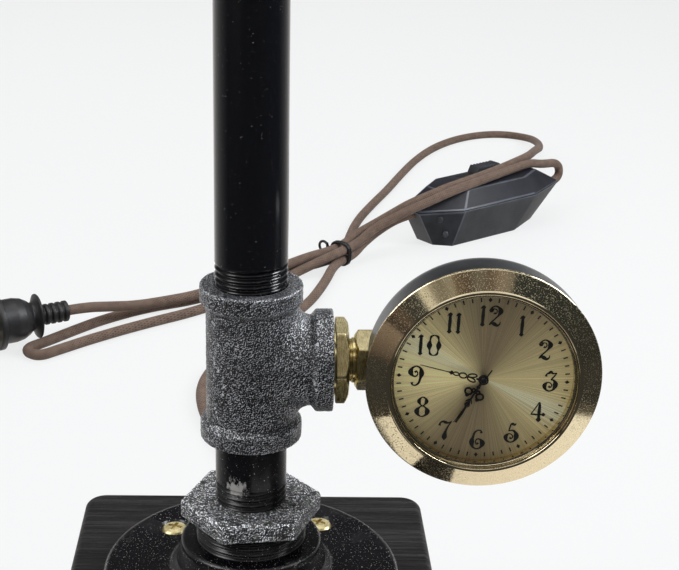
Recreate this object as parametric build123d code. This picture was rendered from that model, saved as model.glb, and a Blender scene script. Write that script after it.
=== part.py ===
from build123d import *
import math
import os

os.makedirs("parts", exist_ok=True)

# Industrial pipe table lamp. Millimetres, +Z up, origin at the centre of the
# underside, on the axis of the riser pipe. +X runs along the branch that carries
# the clock, and the clock faces -Y.

# Pipe, threads and fits
pipe_od = 21.4
pipe_bore = 15.8
thread_pitch = 1.814
thread_depth = 0.95
screwed_depth = 12.0        # how far a pipe screws into a fitting
thread_fit = 0.05           # radial clearance of a screwed joint
bore_relief = 1.5           # fitting thread left below the end of a pipe
running_fit = 0.05          # radial clearance of a piece that turns or slides
seat_gap = 0.3              # between pieces that only lie near each other

# Felt pad, base block, its pocket and cover
pad_thickness = 2.5
pad_inset = 3.5             # from the side of the block
base_width = 115.0
base_depth = 115.0
base_height = 38.0
base_corner = 7.0
base_edge = 2.5
pocket_width = 66.0
pocket_depth = 22.0
cover_width = 78.0
cover_thickness = 2.0
cover_corner = 4.0
cover_screw_inset = 3.4
cover_screw_radius = 1.2
cover_screw_head = 2.6
cover_screw_length = 10.0
wire_hole = 7.0             # radius

# Floor flange and its screws
flange_radius = 45.6
flange_rim = 7.0
flange_edge = 2.2
flange_height = 17.0
hub_root_radius = 25.0
hub_shoulder_radius = 23.0
hub_radius = 21.5
hub_edge = 1.4
screw_circle = 33.0         # radius
screw_angle = 49.0
screw_shank = 2.1
screw_hole = 2.5
screw_head = 4.2
screw_length = 22.0
screw_sunk = 0.8            # how far the head's rim lies below the face
countersink = 5.0           # radius at the face
recess_width = 1.1
recess_depth = 1.6

# Hex reducing bushing
bushing_thread = 16.7       # radius
bushing_screwed = 12.0
bushing_bare = 7.5
bushing_head = 5.6
bushing_corner = 21.6       # radius to the corners
bushing_turn = 7.7
bushing_chamfer = 0.9

# Pipes
lower_nipple_bare = 21.2
riser_bare = 160.2
arm_bare = 40.0
head_nipple_bare = 5.0
lower_nipple_rings = 4
riser_rings = 4
pipe_passage = 8.4          # radius inside a fitting, between its threads

# Tee and elbows
fitting_reach = 24.0        # centre to face
fitting_body = 13.3         # radius
fitting_band = 15.1         # radius
band_width = 5.0
band_slope = 1.6
band_edge = 0.7
elbow_bend = 14.2

# Brass hex bushing and adapter in the branch
brass_screwed = 10.5
brass_collar = 0.9
brass_head = 3.5
brass_corner = 12.9
brass_turn = 31.2
brass_chamfer = 1.1
adapter_neck = 6.8          # radius
adapter_screwed = 8.0
adapter_gap = 1.9
adapter_head = 6.0
adapter_corner = 9.2
adapter_turn = 48.5
adapter_chamfer = 1.1
adapter_bore = 3.0
adapter_tail = 6.0

# Clock: z here is the distance in front of the branch axis
clock_x = 66.56
case_radius = 33.3
case_wall = 2.2
case_shoulder = 12.5
case_front = 12.9
case_back = -7.2
case_boss = 11.5            # radius of the threaded boss
case_spot = 9.6             # radius of the spot face the adapter's hex sits in
boss_depth = 6.6
boss_front = 8.4
bezel_radius = 33.8
bezel_lip = 1.0
bezel_opening = 26.9
bezel_front = 17.0
bezel_wall = 25.6           # radius of the wall around the dial
crystal_radius = 26.3
crystal_thickness = 1.2
crystal_front = 16.3
dial_face = 12.6
dial_thickness = 0.5
dial_radius = 27.5
dial_hole = 1.6
insert_radius = 30.6
insert_plate = 3.2
gasket_width = 1.6
gasket_depth = 1.2
movement_width = 38.0
movement_depth = 10.0
movement_wall = 1.2
lid_thickness = 1.0
lid_clearance = 0.1
battery_radius = 5.8
battery_height = 5.2
battery_place = (-9.5, -9.5)
coil_radius = 3.0
coil_length = 13.0
coil_place = (9.5, 9.0)
board_size = (14.0, 10.0, 0.8)
board_place = (9.5, -9.5)
knob_radius = 5.0
knob_height = 1.8
knob_stem = 1.4
knob_place = (0.0, 9.0)
arbor_radius = 0.9
hour_level = 13.3
minute_level = 13.9
second_level = 14.4
hand_thickness = 0.22
hour_length = 13.2
minute_length = 19.0
second_length = 15.2
second_tail = 4.1
hour_boss = 1.9
minute_boss = 2.3
second_boss = 1.2
hour_angle = -203.5         # from twelve, seen from the front, clockwise negative
minute_angle = -282.5
second_angle = -210.0
dial_turn = -2.2            # the whole insert sits turned a little in its case

# Socket, cup and bulb
cup_band = 6.0
cup_height = 44.0
cup_radius = 27.0
cup_wall = 2.4
cup_floor = 14.0
socket_radius = 19.5
socket_height = 34.0
socket_wall = 3.0
socket_floor = 4.0
ring_radius = 22.5
ring_height = 5.0
shell_outer = 14.1
shell_thickness = 0.5
shell_height = 24.0
shell_clearance = 0.35
contact_radius = 4.0
contact_height = 3.0
bulb_cap_radius = 13.0
bulb_cap_height = 24.0
bulb_cap_wall = 0.6
cap_thread_rings = 5
bulb_tip_radius = 4.4
bulb_tip_height = 2.4
glass_radius = 32.0
glass_height = 112.0
glass_crown = 76.0          # height of the widest place
glass_neck = 12.6
glass_wall = 0.9
stem_radius = 5.0
stem_height = 34.0
stem_post = 1.4
filament_rods = 10
filament_rod = 0.45
filament_low_radius = 7.0
filament_high_radius = 13.0
filament_low = 30.0
filament_high = 86.0

# Wiring
wire_radius = 1.3
wire_spacing = 2.6
wire_offset = 1.4
wire_level = 17.0
connector_radius = 4.6
connector_length = 15.0
connector_start = 12.0

# Cord, gland, dimmer, tie and plug
cord_diameter = 5.3
bend_share = 0.45
exit_height = 14.0
cord_start = 46.0
gland_barrel = 5.4
gland_depth = 14.0
gland_flange = 8.0
gland_flange_thickness = 2.0
gland_snout = 24.0
gland_tip = 3.7
floor_rest = 2.7            # height of the cord's middle where it lies on the floor
dimmer_centre = (136.0, 477.2)
dimmer_turn = 36.5
dimmer_seam = 22.0          # height of the joint between the two shells
dimmer_height = 33.0
dimmer_wall = 2.0
dimmer_entry = 19.5
cord_tuck = 2.8             # how far the cord reaches into the shell
dimmer_reach = 58.5         # from the middle to each end, at the seam
# corners of each level, as (along, half width) from one end to the other
seam_plan = ((dimmer_reach, 7.5), (26.5, 19.8), (-33.0, 19.8), (-dimmer_reach, 7.5))
foot_plan = ((38.0, 5.0), (13.0, 15.7), (-38.5, 15.7), (-46.5, 7.0))
roof_plan = ((39.0, 6.0), (20.5, 14.5), (-26.0, 14.5), (-41.0, 6.0))
slot_length = 30.0
slot_width = 4.0
slot_side = 9.2             # the slot lies to one side of the middle
slot_middle = 1.0
slider_length = 22.0
slider_width = 8.0
slider_height = 4.6
slider_start = 10.0
board_length = 50.0
board_middle = -7.0
board_width = 24.0
board_thickness = 1.6
board_level = 6.0
dimmer_screw = 1.5
dimmer_screw_head = 2.9
dimmer_screw_spots = (-36.0, 24.0)
tie_place = (46.0, 407.3)
tie_turn = 53.0
tie_width = 3.0
tie_wire = 1.6
tie_inner_width = 11.2
tie_inner_height = 11.2
tie_loop = 3.6
tie_strand = 2.8            # from the middle of the bundle to a strand
plug_end = (-97.0, 296.5, 14.4)
plug_turn = 208.5
relief_length = 14.0
relief_radius = 5.2
relief_ribs = 4
guard_length = 4.0
guard_radius = 11.0
plug_body_length = 17.0
plug_body_radius = 11.2
plug_face_length = 3.2
plug_face_radius = 13.7
blade_length = 17.0
blade_height = 6.4
blade_thickness = 1.5
blade_spacing = 12.7
pin_radius = 2.4
pin_drop = 8.0
pin_length = 20.0

# Heights, worked out from the sizes above
base_top = pad_thickness + base_height
hub_top = base_top + flange_height
bushing_low = hub_top + bushing_bare
bushing_top = bushing_low + bushing_head
tee_bottom = bushing_top + lower_nipple_bare
branch_z = tee_bottom + fitting_reach
tee_top = branch_z + fitting_reach
elbow_bottom = tee_top + riser_bare
arm_z = elbow_bottom + fitting_reach
head_x = -(2 * fitting_reach + arm_bare)
head_face = arm_z + fitting_reach
cup_bottom = head_face + head_nipple_bare
socket_bottom = cup_bottom + cup_floor
bulb_bottom = socket_bottom + socket_floor + contact_height
glass_bottom = bulb_bottom + bulb_tip_height + bulb_cap_height - 3.0
cord_radius = cord_diameter / 2
pipe_radius = pipe_od / 2
socket_thread = pipe_radius + thread_fit
branch_face = fitting_reach
brass_hex_x = branch_face + brass_collar
brass_end_x = brass_hex_x + brass_head
adapter_hex_x = brass_end_x + adapter_gap
adapter_end_x = adapter_hex_x + adapter_head

# Where the pieces of each group go
clock_place = Pos(clock_x, 0, branch_z) * Rot(90, 0, 0)
insert_place = clock_place * Rot(0, 0, dial_turn)
arm_place = Pos(0, 0, arm_z)
head_place = Pos(head_x, 0, arm_z)
along_x = Rot(0, 90, 0)
against_x = Rot(0, -90, 0)
along_y = Rot(-90, 0, 0)


# Helpers
def save(name, shape):
    export_step(shape, "parts/" + name + ".step")


def turned(points):
    # a solid of revolution about Z from (radius, height) points
    outline = make_face(Polyline(*points, close=True))
    return revolve(Plane.XZ * outline, Axis.Z)


def rod(radius, length):
    return extrude(Circle(radius), length)


def tube(outer, inner, length):
    return extrude(Circle(outer) - Circle(inner), length)


def ring_edges(shape, radius, height):
    # the circular edges of this radius at this height
    return [
        edge
        for edge in shape.edges().filter_by(GeomType.CIRCLE)
        if abs(edge.radius - radius) < 0.01 and abs(edge.center().Z - height) < 0.01
    ]


def swept(points, radii, radius):
    path = FilletPolyline(*points, radius=radii)
    return sweep(Plane(origin=path @ 0, z_dir=path % 0) * Circle(radius), path=path)


def corner_radii(points):
    # each bend is as large as its two runs allow
    radii = []
    for before, corner, after in zip(points, points[1:], points[2:]):
        run_in = Vector(*corner) - Vector(*before)
        run_out = Vector(*after) - Vector(*corner)
        half_turn = math.radians(run_in.get_angle(run_out)) / 2
        shorter = min(run_in.length, run_out.length)
        radii.append(bend_share * shorter / math.tan(half_turn))
    return radii


def screwed_pipe(length, low_rings=0, high_rings=0):
    # a pipe along +Z from its lower end, with thread rings left showing
    root = pipe_radius - thread_depth
    points = [(pipe_bore / 2, 0), (pipe_radius, 0)]
    starts = []
    if low_rings:
        starts.append((screwed_depth, low_rings))
    if high_rings:
        starts.append((length - screwed_depth - high_rings * thread_pitch, high_rings))
    for start, count in starts:
        for ring in range(count):
            points.append((pipe_radius, start + ring * thread_pitch))
            points.append((root, start + (ring + 0.5) * thread_pitch))
        points.append((pipe_radius, start + count * thread_pitch))
    points += [(pipe_radius, length), (pipe_bore / 2, length)]
    return turned(points)


def hex_head(corner, height, turn, low_chamfer, high_chamfer):
    # a hexagon with its corners turned down at each end
    blank = extrude(RegularPolygon(corner, 6, rotation=turn), height)
    trim = turned(
        [
            (0, 0),
            (corner - low_chamfer * 1.7, 0),
            (corner, low_chamfer),
            (corner, height - high_chamfer),
            (corner - high_chamfer * 1.7, height),
            (0, height),
        ]
    )
    return blank & trim


def banded_arm():
    # one arm of a fitting along +Z, from its centre to its face
    band_start = fitting_reach - band_width
    return turned(
        [
            (0, 0),
            (fitting_body, 0),
            (fitting_body, band_start - band_slope),
            (fitting_band, band_start + band_edge),
            (fitting_band, fitting_reach - band_edge),
            (fitting_band - band_edge, fitting_reach),
            (0, fitting_reach),
        ]
    )


def thread_socket(radius, depth):
    # the threaded hole in the face of an arm, as the solid to cut
    return Pos(0, 0, fitting_reach - depth) * rod(radius, depth)


def elbow(first, second):
    # a 90 degree elbow between two directions, centred on the origin
    ends = [first, second]
    run = fitting_reach - band_width
    start = tuple(run * axis for axis in first[1])
    end = tuple(run * axis for axis in second[1])
    body = swept([start, (0, 0, 0), end], [elbow_bend], fitting_body)
    passage_start = tuple((fitting_reach + 1) * axis for axis in first[1])
    passage_end = tuple((fitting_reach + 1) * axis for axis in second[1])
    passage = swept([passage_start, (0, 0, 0), passage_end], [elbow_bend], pipe_passage)
    band = Pos(0, 0, fitting_reach - band_width - band_slope) * turned(
        [
            (0, 0),
            (fitting_body, 0),
            (fitting_band, band_slope + band_edge),
            (fitting_band, band_width + band_slope - band_edge),
            (fitting_band - band_edge, band_width + band_slope),
            (0, band_width + band_slope),
        ]
    )
    for place, _ in ends:
        body += place * band
    for place, _ in ends:
        body -= place * thread_socket(socket_thread, screwed_depth + bore_relief)
    return body - passage


upward = (Rot(0, 0, 0), (0, 0, 1))
downward = (Rot(180, 0, 0), (0, 0, -1))
leftward = (against_x, (-1, 0, 0))
rightward = (along_x, (1, 0, 0))


# Base
def base_block():
    block = Box(base_width, base_depth, base_height)
    block = fillet(block.edges().filter_by(Axis.Z), base_corner)
    block = fillet(block.faces().sort_by(Axis.Z)[-1].edges(), base_edge)
    block = Pos(0, 0, pad_thickness + base_height / 2) * block
    rebate = Rectangle(cover_width + 2 * seat_gap, cover_width + 2 * seat_gap)
    block -= Pos(0, 0, pad_thickness) * extrude(rebate, cover_thickness)
    pocket = extrude(Rectangle(pocket_width, pocket_width), pocket_depth)
    block -= Pos(0, 0, pad_thickness) * fillet(pocket.edges().filter_by(Axis.Z), base_corner)
    block -= Pos(0, 0, pad_thickness) * rod(wire_hole, base_height)
    cord_hole = along_y * rod(gland_barrel + running_fit, base_depth)
    block -= Pos(0, 0, exit_height) * cord_hole
    for place in flange_screw_places():
        depth = screw_length - flange_rim
        block -= place * Pos(0, 0, -depth) * rod(screw_shank, depth)
    for place in cover_screw_places():
        block -= place * rod(cover_screw_radius, cover_screw_length)
    return block


def flange_screw_places():
    # on top of the block, under the flange's four holes
    return [
        Pos(0, 0, base_top) * Rot(0, 0, screw_angle + 90 * turn) * Pos(screw_circle, 0, 0)
        for turn in range(4)
    ]


def cover_screw_places():
    # on the outer face of the cover, pointing up into the block
    reach = cover_width / 2 - cover_screw_inset
    return [
        Pos(reach * side, reach * end, pad_thickness) for side in (-1, 1) for end in (-1, 1)
    ]


def base_pad():
    pad = extrude(
        Rectangle(base_width - 2 * pad_inset, base_depth - 2 * pad_inset), pad_thickness
    )
    return fillet(pad.edges().filter_by(Axis.Z), base_corner - 1)


def base_cover():
    plate = extrude(Rectangle(cover_width, cover_width), cover_thickness)
    plate = fillet(plate.edges().filter_by(Axis.Z), cover_corner)
    plate = Pos(0, 0, pad_thickness) * plate
    sink = turned(
        [
            (0, 0),
            (cover_screw_head, 0),
            (cover_screw_radius, cover_screw_head - cover_screw_radius),
            (cover_screw_radius, cover_thickness),
            (0, cover_thickness),
        ]
    )
    for place in cover_screw_places():
        plate -= place * sink
    return plate


def cover_screws():
    screw = turned(
        [
            (0, 0),
            (cover_screw_head, 0),
            (cover_screw_radius, cover_screw_head - cover_screw_radius),
            (cover_screw_radius, cover_screw_length),
            (0, cover_screw_length),
        ]
    )
    for turn in (0, 90):
        slot = extrude(Rectangle(cover_screw_head * 1.2, 0.6), 0.5)
        screw -= Rot(0, 0, turn) * slot
    return Compound([place * screw for place in cover_screw_places()])


def floor_flange():
    points = [
        (bushing_thread + thread_fit, 0),
        (flange_radius, 0),
        (flange_radius, flange_rim),
        (hub_root_radius, flange_rim),
        (hub_shoulder_radius, flange_rim + 3.0),
        (hub_radius, flange_height - 2.2),
        (hub_radius, flange_height),
        (bushing_thread + thread_fit, flange_height),
    ]
    flange = turned(points)
    flange = fillet(ring_edges(flange, flange_radius, flange_rim), flange_edge)
    flange = fillet(ring_edges(flange, hub_radius, flange_height), hub_edge)
    flange = fillet(ring_edges(flange, hub_root_radius, flange_rim), 2.0)
    flange = Pos(0, 0, base_top) * flange
    sink_depth = countersink - screw_hole
    hole = turned(
        [
            (0, -flange_rim),
            (screw_hole, -flange_rim),
            (screw_hole, -sink_depth),
            (countersink, 0),
            (countersink, 1),
            (0, 1),
        ]
    )
    for place in flange_screw_places():
        flange -= place * Pos(0, 0, flange_rim) * hole
    return flange


def flange_screws():
    cone = screw_head - screw_shank
    screw = turned(
        [
            (0, -screw_length),
            (screw_shank * 0.4, -screw_length),
            (screw_shank, -screw_length + 3),
            (screw_shank, -screw_sunk - cone),
            (screw_head, -screw_sunk),
            (screw_head - 0.6, -screw_sunk + 0.7),
            (screw_head - 2.0, -screw_sunk + 1.2),
            (0, -screw_sunk + 1.4),
        ]
    )
    for turn in (20, 110):
        slot = extrude(Rectangle(screw_head * 1.1, recess_width), -recess_depth)
        screw -= Pos(0, 0, 1) * Rot(0, 0, turn) * slot
    return Compound([place * Pos(0, 0, flange_rim) * screw for place in flange_screw_places()])


def cord_gland():
    wall_end = base_depth / 2
    snout_start = gland_flange_thickness
    snout_end = snout_start + gland_snout
    points = [
        (cord_radius + running_fit, -gland_depth),
        (gland_barrel, -gland_depth),
        (gland_barrel, 0),
        (gland_flange, 0),
        (gland_flange, gland_flange_thickness - 0.5),
        (gland_flange - 0.5, gland_flange_thickness),
        (gland_barrel, gland_flange_thickness),
    ]
    ribs = 5
    for rib in range(ribs):
        share = (rib + 0.5) / ribs
        radius = gland_barrel + (gland_tip - gland_barrel) * share
        height = snout_start + gland_snout * share
        points.append((radius, height - 1.4))
        points.append((radius - 0.45, height - 0.9))
        points.append((radius - 0.45, height + 0.5))
        points.append((radius - 0.1, height + 1.0))
    points += [(gland_tip, snout_end), (cord_radius + running_fit, snout_end)]
    return Pos(0, wall_end, exit_height) * along_y * turned(points)


# Pipe work
def hex_bushing():
    screwed = Pos(0, 0, hub_top - bushing_screwed) * rod(
        bushing_thread, bushing_screwed + bushing_bare
    )
    rings = int(bushing_bare / (thread_pitch * 1.25))
    for ring in range(rings):
        height = hub_top + 0.6 + ring * thread_pitch * 1.25
        groove = turned(
            [
                (bushing_thread - 1.0, height + thread_pitch * 0.6),
                (bushing_thread + 0.1, height),
                (bushing_thread + 0.1, height + thread_pitch * 1.2),
            ]
        )
        screwed -= groove
    head = Pos(0, 0, bushing_low) * hex_head(
        bushing_corner, bushing_head, bushing_turn, 0.5, bushing_chamfer
    )
    body = screwed + head
    body -= Pos(0, 0, bushing_top - screwed_depth - bore_relief) * rod(
        socket_thread, screwed_depth + bore_relief + 1
    )
    return body - Pos(0, 0, hub_top - bushing_screwed - 1) * rod(pipe_passage, base_top)


def lower_nipple():
    length = lower_nipple_bare + 2 * screwed_depth
    return Pos(0, 0, bushing_top - screwed_depth) * screwed_pipe(length, lower_nipple_rings)


def riser_pipe():
    length = riser_bare + 2 * screwed_depth
    return Pos(0, 0, tee_top - screwed_depth) * screwed_pipe(length, riser_rings, riser_rings)


def pipe_tee():
    arm = banded_arm()
    tee = arm + Rot(180, 0, 0) * arm + along_x * arm
    for place in (Rot(0, 0, 0), Rot(180, 0, 0), along_x):
        tee -= place * thread_socket(socket_thread, screwed_depth + bore_relief)
        tee -= place * rod(pipe_passage, fitting_reach + 1)
    return Pos(0, 0, branch_z) * tee


def upper_elbow():
    return arm_place * elbow(downward, leftward)


def arm_nipple():
    length = arm_bare + 2 * screwed_depth
    start = Pos(-(fitting_reach - screwed_depth), 0, arm_z)
    return start * against_x * screwed_pipe(length, 2, 2)


def head_elbow():
    return head_place * elbow(rightward, upward)


def head_nipple():
    length = head_nipple_bare + 2 * screwed_depth
    return Pos(head_x, 0, head_face - screwed_depth) * screwed_pipe(length, 2)


# Brass fittings of the branch
def brass_bushing():
    thread = Pos(branch_face - brass_screwed, 0, 0) * along_x * rod(
        pipe_radius, brass_screwed + brass_collar
    )
    head = Pos(brass_hex_x, 0, 0) * along_x * hex_head(
        brass_corner, brass_head, brass_turn, 0.25, brass_chamfer
    )
    bore = Pos(branch_face - brass_screwed - 1, 0, 0) * along_x * rod(
        adapter_neck + thread_fit, brass_screwed + brass_collar + brass_head + 2
    )
    return Pos(0, 0, branch_z) * (thread + head - bore)


def brass_adapter():
    neck = Pos(brass_end_x - adapter_screwed, 0, 0) * along_x * rod(
        adapter_neck, adapter_screwed + adapter_gap
    )
    head = Pos(adapter_hex_x, 0, 0) * along_x * hex_head(
        adapter_corner, adapter_head, adapter_turn, adapter_chamfer, 0.3
    )
    tail = Pos(adapter_end_x, 0, 0) * along_x * rod(adapter_neck - 0.2, adapter_tail)
    bore = Pos(brass_end_x - adapter_screwed - 1, 0, 0) * along_x * rod(
        adapter_bore, adapter_screwed + adapter_gap + adapter_head + adapter_tail + 2
    )
    return Pos(0, 0, branch_z) * (neck + head + tail - bore)


# Clock, drawn facing +Z about its own centre and then placed
def cup_profile(radius, shoulder, back, front):
    # a round cup open at the front, with a rounded shoulder at the back
    points = [(0, back)]
    steps = 8
    for step in range(steps + 1):
        angle = math.radians(90 * step / steps)
        points.append(
            (
                radius - shoulder + shoulder * math.sin(angle),
                back + shoulder - shoulder * math.cos(angle),
            )
        )
    points += [(radius, front), (0, front)]
    return points


def clock_case():
    outer = turned(cup_profile(case_radius, case_shoulder, case_back, case_front))
    inner_radius = case_radius - case_wall
    inner = turned(
        cup_profile(
            inner_radius, case_shoulder - case_wall, case_back + case_wall, case_front + 1
        )
    )
    # the boss and its hole lie along the branch, to the left of the dial
    seat_x = adapter_end_x - clock_x
    boss = Pos(-case_radius, 0, 0) * along_x * rod(case_boss, seat_x + boss_depth + case_radius)
    boss &= outer & Pos(0, 0, case_back) * rod(case_radius, boss_front - case_back)
    spot = Pos(-case_radius - 1, 0, 0) * along_x * rod(case_spot, seat_x + case_radius + 1)
    hole = Pos(seat_x - 1, 0, 0) * along_x * rod(
        adapter_neck - 0.2 + thread_fit, boss_depth + 2
    )
    case = outer - inner + boss - spot - hole
    return clock_place * case


def clock_bezel():
    seat = crystal_radius + running_fit
    back = dial_face - dial_thickness
    rim = case_front + running_fit
    skirt = insert_radius - 0.1
    return insert_place * turned(
        [
            (bezel_wall, dial_face),
            (dial_radius + 0.1, dial_face),
            (dial_radius + 0.1, back),
            (skirt, back),
            (skirt, rim),
            (bezel_radius - 0.4, rim),
            (bezel_radius, rim + 0.4),
            (bezel_radius, rim + bezel_lip - 0.3),
            (bezel_radius - 0.3, rim + bezel_lip),
            (bezel_opening + 1.2, bezel_front - 0.25),
            (bezel_opening + 0.6, bezel_front),
            (bezel_opening + 0.1, bezel_front - 0.1),
            (seat, bezel_front - 0.6),
            (seat, crystal_front - crystal_thickness),
            (bezel_wall, crystal_front - crystal_thickness),
        ]
    )


def clock_crystal():
    dome = 0.5
    return insert_place * turned(
        [
            (0, crystal_front - crystal_thickness + dome * 0.6),
            (crystal_radius * 0.6, crystal_front - crystal_thickness + dome * 0.4),
            (crystal_radius, crystal_front - crystal_thickness),
            (crystal_radius, crystal_front - dome),
            (crystal_radius * 0.8, crystal_front - dome * 0.35),
            (crystal_radius * 0.4, crystal_front - dome * 0.08),
            (0, crystal_front),
        ]
    )


def clock_dial():
    disc = tube(dial_radius, dial_hole, dial_thickness)
    return insert_place * Pos(0, 0, dial_face - dial_thickness) * disc


def insert_body():
    # the plastic plate behind the dial, with the groove for the gasket
    top = dial_face - dial_thickness
    low = top - insert_plate
    middle = (top + low) / 2
    inner = movement_width / 2 * 1.42 + 1
    disc = turned(
        [
            (0, low),
            (insert_radius, low),
            (insert_radius, middle - gasket_width / 2),
            (insert_radius - gasket_depth, middle - gasket_width / 2),
            (insert_radius - gasket_depth, middle + gasket_width / 2),
            (insert_radius, middle + gasket_width / 2),
            (insert_radius, top),
            (0, top),
        ]
    )
    relief = Pos(0, 0, low) * rod(inner, insert_plate - 1.4)
    return insert_place * (disc - relief - Pos(0, 0, low) * rod(dial_hole, insert_plate + 1))


def insert_gasket():
    top = dial_face - dial_thickness
    middle = top - insert_plate / 2
    inner = insert_radius - gasket_depth
    outer = case_radius - case_wall - running_fit
    ring = tube(outer, inner, gasket_width)
    return insert_place * Pos(0, 0, middle - gasket_width / 2) * ring


movement_top = dial_face - dial_thickness - 1.4
movement_low = movement_top - movement_depth


def movement_housing():
    outer = extrude(Rectangle(movement_width, movement_width), movement_depth)
    outer = fillet(outer.edges().filter_by(Axis.Z), 3.0)
    inner_width = movement_width - 2 * movement_wall
    inner = extrude(Rectangle(inner_width, inner_width), movement_depth - movement_wall)
    inner = fillet(inner.edges().filter_by(Axis.Z), 2.0)
    box = outer - inner
    box -= rod(arbor_radius + running_fit, movement_depth)
    return insert_place * Pos(0, 0, movement_low) * box


def movement_lid():
    inner_width = movement_width - 2 * movement_wall - 2 * lid_clearance
    lid = extrude(Rectangle(inner_width, inner_width), lid_thickness)
    lid = fillet(lid.edges().filter_by(Axis.Z), 1.9)
    lid -= Pos(*knob_place, 0) * rod(knob_stem + running_fit, lid_thickness)
    return insert_place * Pos(0, 0, movement_low) * lid


inside_level = movement_low + lid_thickness + 0.2


def movement_battery():
    return insert_place * Pos(*battery_place, inside_level) * rod(battery_radius, battery_height)


def movement_coil():
    winding = along_x * rod(coil_radius, coil_length)
    core = Pos(-1, 0, 0) * along_x * rod(coil_radius * 0.45, coil_length + 2)
    middle = inside_level + coil_radius + 0.4
    return insert_place * Pos(coil_place[0] - coil_length / 2, coil_place[1], middle) * (
        winding + core
    )


def movement_board():
    board = Box(*board_size, align=(Align.CENTER, Align.CENTER, Align.MIN))
    chip = Pos(0, 0, board_size[2]) * Box(5, 5, 1.2, align=(Align.CENTER, Align.CENTER, Align.MIN))
    return insert_place * Pos(*board_place, inside_level + 1) * (board + chip)


def hand_arbor():
    foot = inside_level + 2
    shaft = Pos(0, 0, foot) * rod(arbor_radius, second_level - foot)
    return insert_place * shaft


def setting_knob():
    grip = rod(knob_radius, knob_height)
    teeth = 24
    for tooth in range(teeth):
        notch = Pos(knob_radius, 0, 0) * rod(0.3, knob_height)
        grip -= Rot(0, 0, 360 / teeth * tooth) * notch
    low = movement_low - knob_height - 0.4
    stem = Pos(0, 0, knob_height) * rod(knob_stem, 0.4 + lid_thickness + 1.5)
    return insert_place * Pos(*knob_place, low) * (grip + stem)


def hand(points, boss, bore, level, angle):
    # a flat hand that points up at twelve, about its own boss
    half = Polyline(*points, points[0])
    blade = extrude(make_face(half), hand_thickness)
    blade += Rot(0, 180, 0) * Pos(0, 0, -hand_thickness) * blade
    blade += rod(boss, hand_thickness)
    blade -= rod(bore, hand_thickness)
    return insert_place * Pos(0, 0, level) * Rot(0, 0, angle) * blade


def hour_hand():
    blade = [
        (0, hour_boss * 0.5),
        (0.55, hour_boss * 0.9),
        (0.45, 3.0),
        (2.3, 4.4),
        (2.6, 6.0),
        (1.2, 7.0),
        (0.45, 7.8),
        (1.1, 8.8),
        (0.4, 9.8),
        (0.3, 11.6),
        (0, hour_length),
    ]
    return hand(blade, hour_boss, arbor_radius + running_fit, hour_level, hour_angle)


def minute_hand():
    blade = [
        (0, minute_boss * 0.5),
        (0.45, minute_boss * 0.9),
        (1.1, 4.4),
        (0.4, 5.8),
        (1.3, 7.4),
        (1.0, 9.0),
        (0.35, 10.2),
        (0.75, 11.2),
        (0.28, 12.4),
        (0.2, 16.0),
        (0, minute_length),
    ]
    return hand(blade, minute_boss, arbor_radius + running_fit, minute_level, minute_angle)


def second_hand():
    blade = [
        (0, -second_tail),
        (0.28, -second_tail),
        (0.16, 0),
        (0.08, second_length),
        (0, second_length),
    ]
    needle = hand(blade, second_boss, 0.01, second_level, second_angle)
    cap = insert_place * Pos(0, 0, second_level) * rod(second_boss, hand_thickness + 0.15)
    return needle + cap


# Socket, cup and bulb
def socket_cup():
    thread_end = cup_floor - 2
    rim = cup_height - cup_band
    wall = cup_radius - 0.5
    points = [
        (0, 0),
        (fitting_band - band_edge, 0),
        (fitting_band, band_edge),
        (fitting_band, cup_band - band_edge),
        (fitting_band + 1.4, cup_band + 2.5),
        (socket_radius + 2.6, cup_floor - 1.5),
        (wall - 1.8, cup_floor + 3.5),
        (wall, cup_floor + 10),
        (wall, rim),
        (cup_radius + 0.9, rim + 0.8),
        (cup_radius + 0.9, cup_height - 0.8),
        (cup_radius + 0.1, cup_height),
        (0, cup_height),
    ]
    hollow = [
        (0, cup_floor),
        (socket_radius + 0.6, cup_floor),
        (wall - 1.8 - cup_wall, cup_floor + 5),
        (wall - cup_wall, cup_floor + 11),
        (wall - cup_wall, cup_height + 1),
        (0, cup_height + 1),
    ]
    cup = turned(points) - turned(hollow)
    cup -= rod(socket_thread, thread_end)
    cup -= rod(pipe_passage, cup_floor + 1)
    return Pos(head_x, 0, cup_bottom) * cup


def lamp_socket():
    body = rod(socket_radius, socket_height)
    body -= Pos(0, 0, socket_floor) * rod(socket_radius - socket_wall, socket_height)
    body -= rod(4.0, socket_floor + 1)
    return Pos(head_x, 0, socket_bottom) * body


def socket_ring():
    ring = tube(ring_radius, socket_radius + running_fit, ring_height)
    notches = 24
    for notch in range(notches):
        cut = Pos(ring_radius + 0.3, 0, 0) * rod(0.9, ring_height)
        ring -= Rot(0, 0, 360 / notches * notch) * cut
    return Pos(head_x, 0, socket_bottom + socket_height - ring_height - 2) * ring


def screw_shell():
    low = socket_bottom + socket_floor
    can = rod(shell_outer, shell_height)
    can -= Pos(0, 0, shell_thickness) * rod(shell_outer - shell_thickness, shell_height)
    can -= rod(7.0, 1)
    return Pos(head_x, 0, low) * can


def centre_contact():
    low = socket_bottom + socket_floor
    return Pos(head_x, 0, low) * rod(contact_radius, contact_height - 0.05)


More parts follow.
